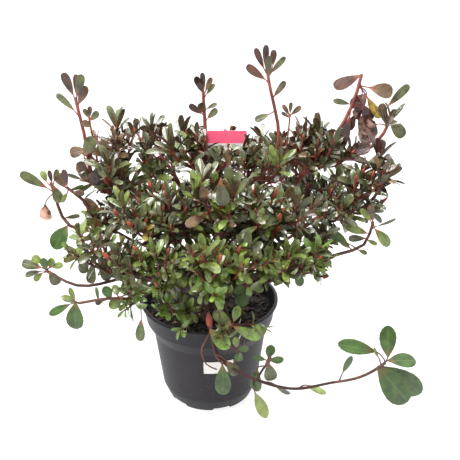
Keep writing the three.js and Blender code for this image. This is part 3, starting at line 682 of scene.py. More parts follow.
def mixed(tree, factor, first, second, kind="RGBA"):
    """One colour, or one value, mixed with another."""
    given = {"Factor": factor, "A": first, "B": second}
    return node(tree, "ShaderNodeMix", given, data_type=kind).outputs["Result"]


FLOAT, COLOUR = "NodeSocketFloat", "NodeSocketColor"


def varied_group():
    """Varied surface: large soft patches move the colour from the first to the second, fine grain
    darkens it and roughens it, and the grain is the height for a bump."""
    group = new_group(
        "varied surface",
        {
            "First colour": (COLOUR, (0.5, 0.5, 0.5, 1)),
            "Second colour": (COLOUR, (0.4, 0.4, 0.4, 1)),
            "Patch scale": (FLOAT, 30),
            "Grain scale": (FLOAT, 400),
            "Grain depth": (FLOAT, 0.2),
            "Roughness": (FLOAT, 0.5),
            "Roughness spread": (FLOAT, 0.1),
        },
        {"Colour": COLOUR, "Roughness": FLOAT, "Height": FLOAT},
    )
    given = node(group, "NodeGroupInput").outputs
    place = node(group, "ShaderNodeTexCoord").outputs["Object"]
    patches = ramp(group, clouds(group, place, given["Patch scale"], 3.0), 0.34, 0.66)
    grain = clouds(group, place, given["Grain scale"], 4.0)
    tone = mixed(group, patches, given["First colour"], given["Second colour"])
    keep = maths(group, "SUBTRACT", 1.0, maths(group, "MULTIPLY", grain, given["Grain depth"]))
    dark = node(group, "ShaderNodeVectorMath", {0: tone, "Scale": keep}, operation="SCALE")
    uneven = maths(group, "MULTIPLY_ADD", grain, given["Roughness spread"], given["Roughness"])
    made = {"Colour": dark.outputs[0], "Roughness": uneven, "Height": grain}
    node(group, "NodeGroupOutput", made)
    return group


def blade_group():
    """Leaf blade, from its flat map, whose X runs across from edge to edge and whose Y from root
    to tip. The rib is a soft line along the middle, the base is the part next to the root, and
    the height is a groove on the rib with waves that sweep forward from it."""
    sockets = {"Rib": FLOAT, "Base": FLOAT, "Height": FLOAT}
    group = new_group("leaf blade", {"Veins": (FLOAT, 8.0)}, sockets)
    given = node(group, "NodeGroupInput").outputs
    flat = node(group, "ShaderNodeUVMap", uv_map="blade").outputs[0]
    place = node(group, "ShaderNodeSeparateXYZ", {0: flat}).outputs
    side = maths(group, "ABSOLUTE", maths(group, "SUBTRACT", place["X"], 0.5))
    off = maths(group, "MULTIPLY", side, 2.0)
    rib = ramp(group, off, 0.0, 0.14, 1.0, 0.0)
    base = ramp(group, place["Y"], 0.0, 0.3, 1.0, 0.0)
    forward = maths(group, "MULTIPLY", place["Y"], 6.283)
    run = maths(group, "SUBTRACT", forward, maths(group, "MULTIPLY", off, 1.6))
    waves = maths(group, "SINE", maths(group, "MULTIPLY", run, given["Veins"]))
    height = maths(group, "SUBTRACT", maths(group, "MULTIPLY", waves, 0.25), rib)
    node(group, "NodeGroupOutput", {"Rib": rib, "Base": base, "Height": height})
    return group


VARIED = varied_group()
BLADE = blade_group()


def new_material(name):
    """An empty material: its tree and its shader, already led to the surface."""
    material = bpy.data.materials.new(name)
    material.use_nodes = True
    tree = material.node_tree
    tree.nodes.clear()
    shader = node(tree, "ShaderNodeBsdfPrincipled")
    node(tree, "ShaderNodeOutputMaterial", {"Surface": shader.outputs["BSDF"]})
    return material, tree, shader


def varied(tree, first, second, *values):
    """The sockets of the varied surface in a material, with that material's own colours and
    values, which are given in the order of the group's inputs."""
    made = tree.nodes.new("ShaderNodeGroup")
    made.node_tree = VARIED
    for socket, value in zip(made.inputs, (linear(first), linear(second), *values)):
        socket.default_value = value
    return made.outputs


def lead(tree, shader, colour, roughness, height, distance, strength):
    """Colour, roughness and a bump of a given height and strength, led to a shader."""
    given = {"Height": height, "Distance": distance, "Strength": strength}
    raised = node(tree, "ShaderNodeBump", given).outputs["Normal"]
    for label, value in (("Base Color", colour), ("Roughness", roughness), ("Normal", raised)):
        tree.links.new(value, shader.inputs[label])


def finished(name):
    """A material of one varied surface, by the table of finishes."""
    first, second, (*values, bump, strength) = FINISHES[name]
    material, tree, shader = new_material(name)
    look = varied(tree, first, second, *values)
    lead(tree, shader, look["Colour"], look["Roughness"], look["Height"], bump, strength)
    return material


def leaf_material(kind):
    """A leaf's upper side in its own colour, with a paler rib, and its duller underside on the
    back. Both turn to the red of the young wood at the base."""
    upper, lower, roughness, patchy, _, coat = LEAF_KINDS[kind]
    light, dark = 1 + patchy, 1 - patchy
    material, tree, shader = new_material(f"leaf_{kind}")
    top = varied(tree, shaded(upper, light), shaded(upper, dark), 90, 420, 0.35, roughness, 0.14)
    under = varied(tree, shaded(lower, light), shaded(lower, dark), 90, 700, 0.3, 0.6, 0.1)
    blade = tree.nodes.new("ShaderNodeGroup")
    blade.node_tree = BLADE
    back = node(tree, "ShaderNodeNewGeometry").outputs["Backfacing"]
    paled, reddened = (0.13, 0.3) if kind == "broad" else (0.3, 0.85)
    line = maths(tree, "MULTIPLY", blade.outputs["Rib"], paled)
    foot = maths(tree, "MULTIPLY", blade.outputs["Base"], reddened)
    ribbed = mixed(tree, line, top["Colour"], linear(shaded(lower, 1.2)))
    both = mixed(tree, back, ribbed, under["Colour"])
    colour = mixed(tree, foot, both, linear("#a04c30"))
    rough = mixed(tree, back, top["Roughness"], under["Roughness"], "FLOAT")
    height = maths(tree, "MULTIPLY_ADD", blade.outputs["Height"], 0.4, top["Height"])
    lead(tree, shader, colour, rough, height, 0.0009, 0.6)
    shader.inputs["Specular IOR Level"].default_value = 0.35
    shader.inputs["Coat Weight"].default_value = coat
    shader.inputs["Coat Roughness"].default_value = 0.07
    return material


def limb_paths():
    """The trunk leans in one arc. A bough is an arc whose middle stands its bow over the straight
    line, or a spline through its places, and starts in the middle of the limb that it leaves."""
    foot = np.array([0, 0, soil_height(0) + GAP])
    tip = placed(TRUNK_TIP)
    paths = {"trunk": arc(foot, [0, 0, (foot[2] + tip[2]) / 2], tip)}
    for name, (limb, share, tip, bow, _, *via) in BOUGHS.items():
        start = paths[limb].point(share)[0]
        if share == 1:
            start = start + paths[limb].tangent(1)[0] * GAP
        end = placed(tip)
        if via:
            paths[name] = through([start, *map(placed, via[0]), end])
        else:
            paths[name] = arc(start, (start + end) / 2 + UP * 2 * bow * MM, end)
    return paths


def trunk_radius(share):
    """The trunk thins evenly from 8.5 to 5 mm, over a root flare that dies away with height."""
    height = share * (TRUNK_TIP[2] * MM - soil_height(0))
    return (8.5 - 3.5 * share) * MM + 0.0055 * np.exp(-height / 0.005)


def bark_relief(paths, turn):
    """Bark: long fissures, finer round the limb than along it, over slow swellings. Each limb
    reads the noise at a place of its own."""
    place = np.arange(paths.shape[1])[None, :, None] * np.ones((len(paths), 1, len(turn)))
    round_x = np.cos(turn) * np.ones_like(place)
    round_y = np.sin(turn) * np.ones_like(place)
    limb = np.arange(len(paths))[:, None, None] * 7.3
    fissures = noise(np.stack([round_x * 3.4 + limb, round_y * 3.4, place * 0.42], -1), 1.0, 3)
    swelling = noise(np.stack([round_x + limb, round_y, place * 0.22], -1), 1.0, 5)
    return 1 + 0.085 * fissures + 0.1 * swelling


def build_limbs(paths):
    """Trunk and boughs as a piece of bark, and the trailing shoot as one of younger, darker bark.
    Each limb starts inside the limb that it leaves, and the trunk 2 mm down in the soil."""
    steps = np.linspace(0, 1, 40)
    lines = np.array([path.point(steps) for path in paths.values()])
    lines[list(paths).index("trunk"), 0, 2] -= 0.002
    radii = []
    for name in paths:
        if name == "trunk":
            radii.append(trunk_radius(steps))
        else:
            taper = TRAILING_TAPER if name.startswith("trailing") else BOUGH_TAPER
            radii.append(BOUGHS[name][4] * MM * (1 - (1 - taper) * steps))
    radii = np.array(radii)
    young = np.array([name.startswith("trailing") for name in paths])
    for name, chosen in (("bark", ~young), ("young", young)):
        points, faces = tubes(lines[chosen], radii[chosen], 18, bark_relief)
        nodes = [n for n in LIMBS if n.startswith("bough_trailing") == (name == "young")]
        make_piece(f"limbs_{name}", points, faces, [finished(name)], nodes)


class Stems:
    """Stems: sampled paths, radii at root and tip, number of the mass, lift, order counted from
    the limbs out, and the share of the length above which they are bare of twigs."""

    FIELDS = ("path", "root_radius", "tip_radius", "mass", "lift", "order", "bare")

    def __init__(self, path, root_radius, tip_radius, mass, lift, order, bare=1.0):
        self.path = np.asarray(path)
        count = len(self.path)
        self.root_radius = np.broadcast_to(root_radius, count).astype(float)
        self.tip_radius = np.broadcast_to(tip_radius, count).astype(float)
        self.mass = np.broadcast_to(mass, count).astype(int)
        self.lift = np.broadcast_to(lift, count).astype(float)
        self.order = np.broadcast_to(order, count)
        self.bare = np.broadcast_to(bare, count)
        self.length = np.linalg.norm(np.diff(self.path, axis=1), axis=2).sum(axis=1)

    @classmethod
    def joined(cls, sets):
        """Several sets of stems as one."""
        return cls(*[np.concatenate([getattr(s, name) for s in sets]) for name in cls.FIELDS])

    def only(self, keep):
        """The chosen stems."""
        return Stems(*[getattr(self, name)[keep] for name in self.FIELDS])

    def at(self, stem, share):
        """Points and directions at shares of stems' lengths, straight between their samples."""
        steps = self.path.shape[1] - 1
        place = np.clip(share, 0, 1) * steps
        before = np.minimum(place.astype(int), steps - 1)
        start, end = self.path[stem, before], self.path[stem, before + 1]
        return start + (end - start) * (place - before)[:, None], unit(end - start)


def leaned(axis, turn, lean):
    """Directions round an axis: the level line across it is turned round it, and then mixed with
    it by the sine and cosine of the lean."""
    across = np.cross(UP, axis)
    across[np.linalg.norm(across, axis=1) < 0.05] = [1, 0, 0]
    across = unit(across)
    other = np.cross(axis, across)
    turned = across * np.cos(turn)[:, None] + other * np.sin(turn)[:, None]
    return turned * np.sin(lean)[:, None] + axis * np.cos(lean)[:, None]


def numbered(count):
    """For all that stand on some stems, of which each bears a given count: the number of the stem
    that each is on, and its own number on that stem."""
    stem = np.repeat(np.arange(len(count)), count)
    return stem, np.arange(len(stem)) - np.repeat(np.cumsum(count) - count, count)


def golden_turns(stem, number, stems):
    """Turns round a stem, the golden angle apart, from a start that each stem has by chance."""
    return rng.random(stems)[stem] * 2 * np.pi + number * GOLDEN_ANGLE


def leading_shoots(paths):
    """The first shoot of a mass goes on from its bough's tip, and the others leave it a little
    above its start. Each is an arc that arrives turned up by the lift of its mass, or, where its
    way is given, a spline through the places on it. Fuller masses have stouter shoots."""
    lines, mass, lifts, bare = [], [], [], []
    for number, (name, (lift, _, tips)) in enumerate(FOLIAGE.items()):
        first = None
        for tip in tips:
            end = placed(tip)
            if first is None:
                leave = paths[name].tangent(1)[0]
                root = paths[name].point(1)[0] + leave * GAP
                straight = unit(end - root)
            else:
                root = first.point(0.1)[0]
                straight = unit(end - root)
                leave = unit(first.tangent(0.1)[0] + straight)
            far = np.linalg.norm(end - root)
            arrive = unit(straight + UP * lift * 2.4)
            path = arc(root, root + leave * far / 3, end - arrive * far * 0.5, end)
            if tip[4:]:
                path = through([root, *map(placed, tip[4:]), end])
            first = first or path
            lines.append(path.point(SHARES))
            mass.append(number)
            lifts.append(lift)
            bare.append(tip[3] if len(tip) > 3 else 0.8)
    full = np.minimum([full for _, full, _ in FOLIAGE.values()], 1)[mass]
    return Stems(lines, 0.0016 + 0.0015 * full, 0.0019 + 0.0002 * full, mass, lifts, 1, bare)


def side_stems(parents, per_100mm, span, lean, reach, radii, rise, over, limit=None):
    """Stems that leave others. Their places are evenly spaced with a little stray, their turns a
    golden angle apart, and their lengths, in millimetres, go from the first reach at the root to
    the second at the tip. The stem bends up by the square of the share of its length, and is
    shorter where it would rise further over its parent's tip than it may."""
    fullness = np.array([full for _, full, _ in FOLIAGE.values()])[parents.mass]
    count = np.round(per_100mm * fullness * parents.length / 0.1).astype(int)
    if limit is not None:
        count = np.minimum(count, limit)
    parent, number = numbered(count)
    total = len(parent)
    place = (number + 0.6 * rng.random(total)) / count[parent]
    share = (span[0] + (span[1] - span[0]) * place) * parents.bare[parent]
    root, axis = parents.at(parent, share)
    turn = golden_turns(parent, number, len(count))
    way = leaned(axis, turn, np.radians(lean[0] + (lean[1] - lean[0]) * rng.random(total)))
    far = (reach[0] + (reach[1] - reach[0]) * share) * MM * rng.uniform(0.7, 1.2, total)
    far = far * np.minimum(0.4 + 0.75 * parents.bare[parent], 1)
    lift = parents.lift[parent]
    gain = far * (way[:, 2] + rise * lift)
    top = parents.at(parent, parents.bare[parent] + 0.2)[0][:, 2]
    room = top + over - root[:, 2]
    far = far * np.clip(room / np.maximum(gain, 1e-6), 0.4, 1)
    steps = SHARES[None, :, None]
    bent = UP * (rise * lift)[:, None, None] * steps**2
    path = root[:, None] + far[:, None, None] * (way[:, None] * steps + bent)
    return Stems(path, *radii, parents.mass[parent], lift, parents.order[0] + 1)


def keeps_space(stems, shoots, slack):
    """True for stems whose tips are nearer to their own mass's shoots than to any other's, or
    farther from them by less than the slack."""
    sites = shoots.path.reshape(-1, 3)
    own = np.repeat(shoots.mass, SAMPLES)[None] == stems.mass[:, None]
    distance = np.linalg.norm(stems.path[:, -1, None] - sites[None], axis=2)
    nearest = np.where(own, distance, np.inf).min(axis=1)
    return nearest < np.where(own, np.inf, distance).min(axis=1) + slack


def blocked(points, margin=0.0015):
    """True where points lie in the pot's wall, in the soil or on the floor, or hide the middle of
    the tag's head: they then stand before it on the line that rises to the camera."""
    x, y, height = np.moveaxis(points, -1, 0)
    radius = np.hypot(x, y)
    outer = np.interp(height, OUTSIDE[:, 1], OUTSIDE[:, 0])
    outer = np.where(height > OUTSIDE[-1, 1] - margin, RIM_RADIUS, outer)
    in_wall = (radius > SOIL["wall"] - margin) & (radius < outer + margin)
    in_wall &= height < POT_HEIGHT + margin
    in_soil = (radius < SOIL["wall"] + 0.001) & (height < soil_height(radius) + margin)
    ahead = TAG["y"] + 0.002 - y
    over = height - (TAG["lower"] + TAG["height"] / 2) - CAMERA["slope"] * ahead
    hides_tag = (np.abs(over) < 0.0095) & (np.abs(x - TAG["x"] + 0.002) < 0.025)
    hides_tag &= np.abs(ahead - 0.1) < 0.1
    return in_wall | in_soil | hides_tag | (height < 0.003)


def trimmed(stems, shoots, slack):
    """The stems that keep to the space of their own mass, and clear of pot, soil and tag."""
    stems = stems.only(keeps_space(stems, shoots, slack))
    return stems.only(~blocked(stems.path, 0.002).any(axis=1))


def spaced(points, least):
    """A choice of points with none nearer to an earlier one than that one's own least distance."""
    keep = np.ones(len(points), bool)
    for i in range(len(points)):
        if keep[i]:
            near = np.linalg.norm(points[i + 1:] - points[i], axis=1) < least[i]
            keep[i + 1:] &= ~near
    return keep


def petioles(leaves, stems):
    """A thin stem from the nearest stem to the root of each leaf. It arrives along the leaf, and
    the nearest is sought 12 mm below the root, among 33 points on each stem."""
    sites = []
    for order in stems:
        stem, number = numbered(np.full(len(order.length), 33))
        sites.append(order.at(stem, number / 32)[0])
    sites = np.concatenate(sites)
    lines = []
    for root, along in zip(leaves.root, leaves.along):
        below = root - along * 0.012
        start = sites[np.linalg.norm(sites - below, axis=1).argmin()]
        third = np.linalg.norm(root - start) / 3
        end = root + along * 0.001
        path = arc(start, start + UP * third * 0.5, end - along * third, end)
        lines.append(path.point(SHARES))
    return Stems(lines, 0.0010, 0.0007, 0, 0, 3)


def loose_stems():
    """The stems of the list, as splines through their places."""
    lines = [through(np.array(way) * MM).point(SHARES) for _, *way in LOOSE_STEMS]
    radii = np.array([radius for radius, *_ in LOOSE_STEMS]) * MM
    return Stems(lines, radii, radii * 0.8, 0, 0, 3)


class Leaves:
    """Leaves: where each is rooted, its direction, the way its face looks, and its sizes."""

    FIELDS = ("root", "along", "face", "length", "width", "curl", "fold", "kind")

    def __init__(self, **fields):
        for name in self.FIELDS:
            setattr(self, name, np.asarray(fields[name]))

    @classmethod
    def joined(cls, sets):
        """Several sets of leaves as one."""
        return cls(**{n: np.concatenate([getattr(s, n) for s in sets]) for n in cls.FIELDS})

    def only(self, keep):
        """The chosen leaves."""
        return Leaves(**{n: getattr(self, n)[keep] for n in self.FIELDS})


def grown_leaves(stems, stem, share, turn, lean, length, kind):
    """Leaves on stems: each leans away from its stem, is lifted a little, and faces the tip. Low
    down they stray more and are broader."""
    root, axis = stems.at(stem, share)
    lift = stems.lift[stem][:, None]
    low = part_way(root[:, 2], 0.32, 0.24)
    stray = 0.13 + 0.1 * low[:, None]
    along = unit(leaned(axis, turn, lean) + UP * 0.3 * lift + rng.normal(0, 1, root.shape) * stray)
    face = unit(axis - along * (axis * along).sum(-1, keepdims=True))
    count = len(stem)
    roll = rng.normal(0, 0.6, count)[:, None]
    face = unit(face * np.cos(roll) + np.cross(along, face) * np.sin(roll))
    return Leaves(
        root=root, along=along, face=face, length=length,
        width=length * (1 + 0.4 * low) * rng.uniform(0.12, 0.165, count),
        curl=rng.uniform(0.15, 0.4, count) + 0.55 * lean * rng.random(count),
        fold=rng.uniform(0.1, 0.45, count), kind=kind,
    )


def whorls(stems, count, lengths, kind, inner, spread, out):
    """A whorl at each stem's tip, the golden angle apart: the inner leaves upright and shorter,
    the outer ones lower down, longer and leaning out."""
    total = len(stems.length)
    stem, number = numbered(np.full(total, count))
    outward = (number + 0.5) / count
    down = (0.001 + spread * outward) / stems.length[stem]
    turn = golden_turns(stem, number, total)
    high = part_way(stems.path[:, -1, 2], 0.29, 0.37)[stem]
    stray = rng.uniform(-12, 12, len(stem))
    lean = np.radians(9 + out * (1 - 0.1 * high) * outward**1.3 + stray)
    size = inner + (1.1 - inner) * outward
    length = lengths[stem] * size * rng.uniform(0.8, 1.2, len(stem))
    return grown_leaves(stems, stem, np.maximum(1 - down, 0.3), turn, lean, length, kind[stem])


def single_leaves(stems, spacing, lengths, kind, span=(0.15, 0.9)):
    """Single leaves along stems below their whorls, the golden angle apart. High up on the plant
    six in ten of them have gone."""
    count = np.floor((span[1] - span[0]) * stems.length / spacing).astype(int)
    stem, number = numbered(count)
    total = len(stem)
    share = span[0] + (span[1] - span[0]) * (number + rng.random(total)) / count[stem]
    turn = golden_turns(stem, number, len(count))
    lean = np.radians(rng.uniform(45, 95, total))
    length = lengths[stem] * rng.uniform(0.7, 1.05, total)
    made = grown_leaves(stems, stem, share, turn, lean, length, kind[stem])
    return made.only(rng.random(total) >= 0.6 * part_way(made.root[:, 2], 0.29, 0.35))


def picked_leaves():
    """The single leaves of the list, each seen from the side that its turn gives."""
    kinds, widths, turns, roots, tips = map(np.array, zip(*SINGLE_LEAVES))
    root, way = roots * MM, (tips - roots) * MM
    along = unit(way)
    front = np.array([0, -0.86, 0.51])
    face = unit(front - along * (along @ front)[:, None])
    turn = np.radians(turns)[:, None]
    kind = np.array([KINDS.index(kind) for kind in kinds])
    withered = np.isin(kind, WITHERED)
    count = len(kind)
    return Leaves(
        root=root, along=along, face=face * np.cos(turn) + np.cross(along, face) * np.sin(turn),
        length=np.linalg.norm(way, axis=1), width=widths * MM / 2,
        curl=rng.uniform(0.1, 0.4, count) + 0.6 * withered,
        fold=rng.uniform(0.1, 0.25, count) + 0.35 * withered, kind=kind,
    )


def blade_points(leaves):
    """Leaf blades. Half the width is a power of the share from the root times a power of the
    share left to the tip, which is blunter on dark leaves than on green ones. The middle line
    bends down along an arc, the two halves fold up from it, and their edges roll back down with
    the square of the way across. Withered leaves crumple in waves."""
    share = np.append(ROWS, 1)
    blunt = np.array([kind[4] for kind in LEAF_KINDS.values()])[leaves.kind][:, None]
    half = share**0.95 * (1 - share) ** blunt
    half = np.maximum(half / half.max(axis=1, keepdims=True), 0.09 * (share < 0.5))
    curl = leaves.curl[:, None]
    forward = share * (1 - (curl * share) ** 2 / 6)
    sink = -curl * share**2 / 2
    length = leaves.length[:, None]
    side = np.cross(leaves.face, leaves.along)
    middle = (
        leaves.root[:, None]
        + leaves.along[:, None] * (forward * length)[..., None]
        + leaves.face[:, None] * (sink * length)[..., None]
    )
    across = (leaves.width[:, None] * half)[:, :-1, None]
    reach = np.abs(COLUMNS)
    crumple = np.where(np.isin(leaves.kind, WITHERED), 0.35, 0)[:, None, None]
    wave = np.sin(ROWS[:, None] * 15 + COLUMNS * 2.4 + leaves.root[:, :1, None] * 900)
    rise = across * (leaves.fold[:, None, None] * 2 * reach - 0.3 * reach**2)
    rise = rise + crumple * leaves.width[:, None, None] * wave * reach
    blade = (
        middle[:, :-1, None]
        + side[:, None, None] * (across * COLUMNS)[..., None]
        + leaves.face[:, None, None] * rise[..., None]
    )
    return np.concatenate([blade.reshape(len(blade), -1, 3), middle[:, -1:]], axis=1)


def blade_faces():
    """Faces between the rows of a blade, and triangles from its last row to its tip."""
    quads = grid_faces(len(ROWS), len(COLUMNS))[:, ::-1]
    last = (len(ROWS) - 1) * len(COLUMNS) + np.arange(len(COLUMNS))
    tip = np.full(len(COLUMNS) - 1, len(ROWS) * len(COLUMNS))
    return quads, np.stack([last[1:], last[:-1], tip], axis=-1)


def blade_map():
    """The flat place of each point of a blade: across from 0 to 1, and from root to tip."""
    along, across = np.meshgrid(ROWS, (COLUMNS + 1) / 2, indexing="ij")
    return np.vstack([np.stack([across, along], -1).reshape(-1, 2), [[0.5, 1.0]]])


def build_leaves(leaves):
    """All leaves, each kind in a piece of its own, and in several where there are many."""
    quads, tips = blade_faces()
    most = MOST_TRIANGLES // (2 * len(quads) + len(tips))
    each = len(ROWS) * len(COLUMNS) + 1
    for number, kind in enumerate(KINDS):
        chosen = np.flatnonzero(leaves.kind == number)
        if not len(chosen):
            continue
        material = leaf_material(kind)
        for part, lot in enumerate(np.array_split(chosen, -(-len(chosen) // most))):
            points = blade_points(leaves.only(lot)).reshape(-1, 3)
            faces = [repeated(quads, each, len(lot)), repeated(tips, each, len(lot))]
            flat = np.tile(blade_map(), (len(lot), 1))
            name = f"leaves_{kind}_{part + 1}"
            make_piece(name, points, faces, [material], MASSES, flat=flat)


def build_twigs(stems):
    """Shoots, twigs, sprigs and petioles as thin tapering tubes: young red wood high up, and older
    brown wood low down."""
    radii = stems.root_radius[:, None] * (1 - SHARES) + stems.tip_radius[:, None] * SHARES
    high = stems.path[:, -1, 2]
    young = (high > 0.27) & (stems.order > 1) | (high > 0.34)
    for name, chosen in (("red", young), ("brown", ~young)):
        points, faces = tubes(stems.path[chosen], radii[chosen], 6)
        material = finished(f"twig_{name}")
        make_piece(f"twigs_{name}", points, faces, [material], MASSES)


def build_buds(stems):
    """A pointed bud of 6 to 16 mm in the middle of some whorls, of more of them high up, and a
    large one in front of the pot: the radius goes up and down with the sine of the share of the
    length."""
    chance = 0.25 + 3 * (stems.path[:, -1, 2] - 0.27)
    stems = stems.only(rng.random(len(chance)) < chance)
    tip, axis = stems.at(np.arange(len(stems.length)), np.ones(len(stems.length)))
    share = np.array([0, 0.15, 0.35, 0.6, 0.82, 0.95])
    large, foot, way = LARGE_BUD
    long = np.append(0.006 + 0.010 * rng.random(len(tip)) ** 2, large)
    tip = np.vstack([tip, foot])
    axis = np.vstack([axis, unit(np.array(way))])
    lines = tip[:, None] + axis[:, None] * (share * long[:, None])[..., None]
    radii = long[:, None] * 0.19 * np.sin(np.pi * (0.12 + 0.85 * share)) ** 0.8
    points, faces = tubes(lines, radii, 6)
    make_piece("buds", points, faces, [finished("bud")], MASSES)


def spray_kinds(points):
    """The colour that is dealt to a spray, from fresh to plum: by its height, by slow noise and by
    chance. A few sprays are gold or dry."""
    tone = (points[:, 2] - 0.262) / 0.11 + 0.4 * noise(points, 0.06, 11)
    tone = tone + rng.normal(0, 0.4, len(points))
    kind = np.digitize(tone, [-0.5, 0.35, 1.2, 2.0])
    rare = rng.random(len(points))
    kind = np.where(rare < 0.002, KINDS.index("gold"), kind)
    return np.where(rare > 0.997, KINDS.index("dry"), kind)


def crown_stems(paths):
    """Leading shoots, the twigs on them and the sprigs on those. Where tips crowd, the later stem
    is left out, and high up they stand wider apart."""
    shoots = leading_shoots(paths)
    twigs = side_stems(
        shoots, per_100mm=6.6, span=(0.08, 0.9), lean=(24, 50), reach=(62, 26),
        radii=(0.0018, 0.0014), rise=0.75, over=-0.006,
    )
    twigs = trimmed(twigs, shoots, 0.004)
    sprigs = side_stems(
        twigs, per_100mm=7.4, span=(0.25, 0.85), lean=(26, 48), reach=(28, 18),
        radii=(0.0013, 0.001), rise=0.6, over=0.001, limit=4,
    )
    sprigs = trimmed(sprigs, shoots, 0.006)
    ends = np.concatenate([stems.path[:, -1] for stems in (shoots, twigs, sprigs)])
    keep = spaced(ends, 0.0085 + 0.006 * part_way(ends[:, 2], 0.25, 0.35))
    _, on_twigs, on_sprigs = np.split(keep, np.cumsum([len(shoots.length), len(twigs.length)]))
    return shoots, twigs.only(on_twigs), sprigs.only(on_sprigs)


def crown_leaves(rules):
    """Whorls and single leaves on stems. Each rule gives the stems, how many leaves a whorl has,
    their mean length, the share of it that the innermost have, how far down the stem the whorl
    reaches, and how many degrees the outermost lean out. Leaves are shorter low down."""
    sets = []
    for stems, count, mean, inner, spread, out in rules:
        tips = stems.path[:, -1]
        kind = spray_kinds(tips)
        low = part_way(tips[:, 2], 0.345, 0.255)
        lengths = mean * (1 - 0.34 * low) * rng.uniform(0.8, 1.2, len(tips))
        sets.append(whorls(stems, count, lengths, kind, inner, spread, out))
        sets.append(single_leaves(stems, 0.013, lengths, kind))
    return sets


def grow_plant(paths):
    """Shoots, twigs and sprigs of the whole crown, and their leaves and buds. The shoots that have
    only leaves of the list bear no whorl and no bud."""
    shoots, twigs, sprigs = crown_stems(paths)
    picked = np.array([PICKED.get(name, 0) for name in FOLIAGE])
    rank = np.arange(len(shoots.mass)) - np.searchsorted(shoots.mass, shoots.mass)
    grown = shoots.only(rank >= picked[shoots.mass])
    listed = picked_leaves()
    rules = (
        (grown, 9, 0.030, 0.9, 0.011, 62),
        (twigs, 8, 0.028, 0.62, 0.015, 76),
        (sprigs, 7, 0.026, 0.6, 0.013, 78),
    )
    leaves = Leaves.joined([listed, *crown_leaves(rules)])
    leaves = leaves.only(~blocked(blade_points(leaves)).any(axis=1))
    loose = loose_stems()
    limbs = Stems([path.point(SHARES) for path in paths.values()], 0.003, 0.002, 0, 0, 0)
    thin = petioles(listed, (limbs, shoots, twigs, sprigs, loose))
    build_twigs(Stems.joined([shoots, twigs, sprigs, loose, thin]))
    build_buds(Stems.joined([grown, twigs, sprigs]))
    build_leaves(leaves)


def turned_points(profile, sides):
    """A profile of radius and height turned round the pot's axis."""
    turn = np.linspace(0, 2 * np.pi, sides, endpoint=False)
    radius, height = np.asarray(profile).T
    x = radius[:, None] * np.cos(turn)
    y = radius[:, None] * np.sin(turn)
    return np.stack([x, y, np.broadcast_to(height[:, None], x.shape)], axis=-1)


def rounded_profile(corners, radius, steps=4):
    """A profile whose inner corners are rounded: each corner becomes an arc between the points
    that lie the radius before and after it, or less where the sides are short."""
    corners = np.asarray(corners, float)
    made = [corners[0]]
    for before, corner, after in zip(corners, corners[1:], corners[2:]):
        into, out = before - corner, after - corner
        reach = min(radius, np.linalg.norm(into) * 0.45, np.linalg.norm(out) * 0.45)
        start, end = corner + unit(into) * reach, corner + unit(out) * reach
        for t in np.linspace(0, 1, steps):
            made.append((1 - t) ** 2 * start + 2 * t * (1 - t) * corner + t**2 * end)
    made.append(corners[-1])
    return np.array(made)


def merged(parts):
    """Points and faces of several grids in one mesh, with the points numbered on."""
    shift = np.cumsum([0] + [len(points) for points, _ in parts])
    faces = [made + start for (_, sets), start in zip(parts, shift) for made in sets]
    sizes = sorted({made.shape[1] for made in faces})
    grouped = [np.vstack([made for made in faces if made.shape[1] == size]) for size in sizes]
    return np.vstack([points for points, _ in parts]), grouped


def turned_solid(points, low, high):
    """A turned grid closed by a centre point under its first ring and one over its last."""
    rows, sides = points.shape[:2]
    every = np.vstack([points.reshape(-1, 3), [[0, 0, low], [0, 0, high]]])
    first = np.arange(sides)
    caps = [
        fan_faces(rows * sides, first, turned=True),
        fan_faces(rows * sides + 1, first + (rows - 1) * sides),
    ]
    return every, [grid_faces(rows, sides, closed=True), np.vstack(caps)]


def endless(points):
    """A grid that is closed both ways: its last row leads back to its first."""
    rows, sides = points.shape[:2]
    faces = grid_faces(rows + 1, sides, closed=True) % (rows * sides)
    return points.reshape(-1, 3), [faces]


def base_sector(heading):
    """A sixth of the base with a drain hole in it. From the hole's centre each ray runs to the
    nearest of the sector's straight sides and of its inner and outer circle. Rings lead from the
    hole out to there on the underside, and back on the upper side."""
    inner, outer, middle, hole, half = 0.0192, 0.0560, 0.040, 0.005, np.pi / DRAIN_HOLES
    ray = np.linspace(0, 2 * np.pi, 120, endpoint=False)
    ahead, aside = np.cos(ray), np.sin(ray)
    with np.errstate(divide="ignore", invalid="ignore"):
        left = middle * np.sin(half) / (aside * np.cos(half) - ahead * np.sin(half))
        right = middle * np.sin(half) / (-aside * np.cos(half) - ahead * np.sin(half))
        near = -middle * ahead - np.sqrt(inner**2 - (middle * aside) ** 2)
    far = -middle * ahead + np.sqrt(outer**2 - (middle * aside) ** 2)
    reach = np.stack([left, right, near, far])
    reach = np.where(np.isnan(reach) | (reach <= 0), 1, reach).min(axis=0)
    rings = []
    for height, shares in ((BASE_UNDER, (0, 0.15, 1)), (BASE_TOP, (1, 0.15, 0))):
        for share in shares:
            radius = hole + (reach - hole) * share
            x, y = spun(middle + radius * ahead, radius * aside, heading)
            rings.append(np.stack([x, y, np.full_like(x, height)], -1))
    return endless(np.array(rings))


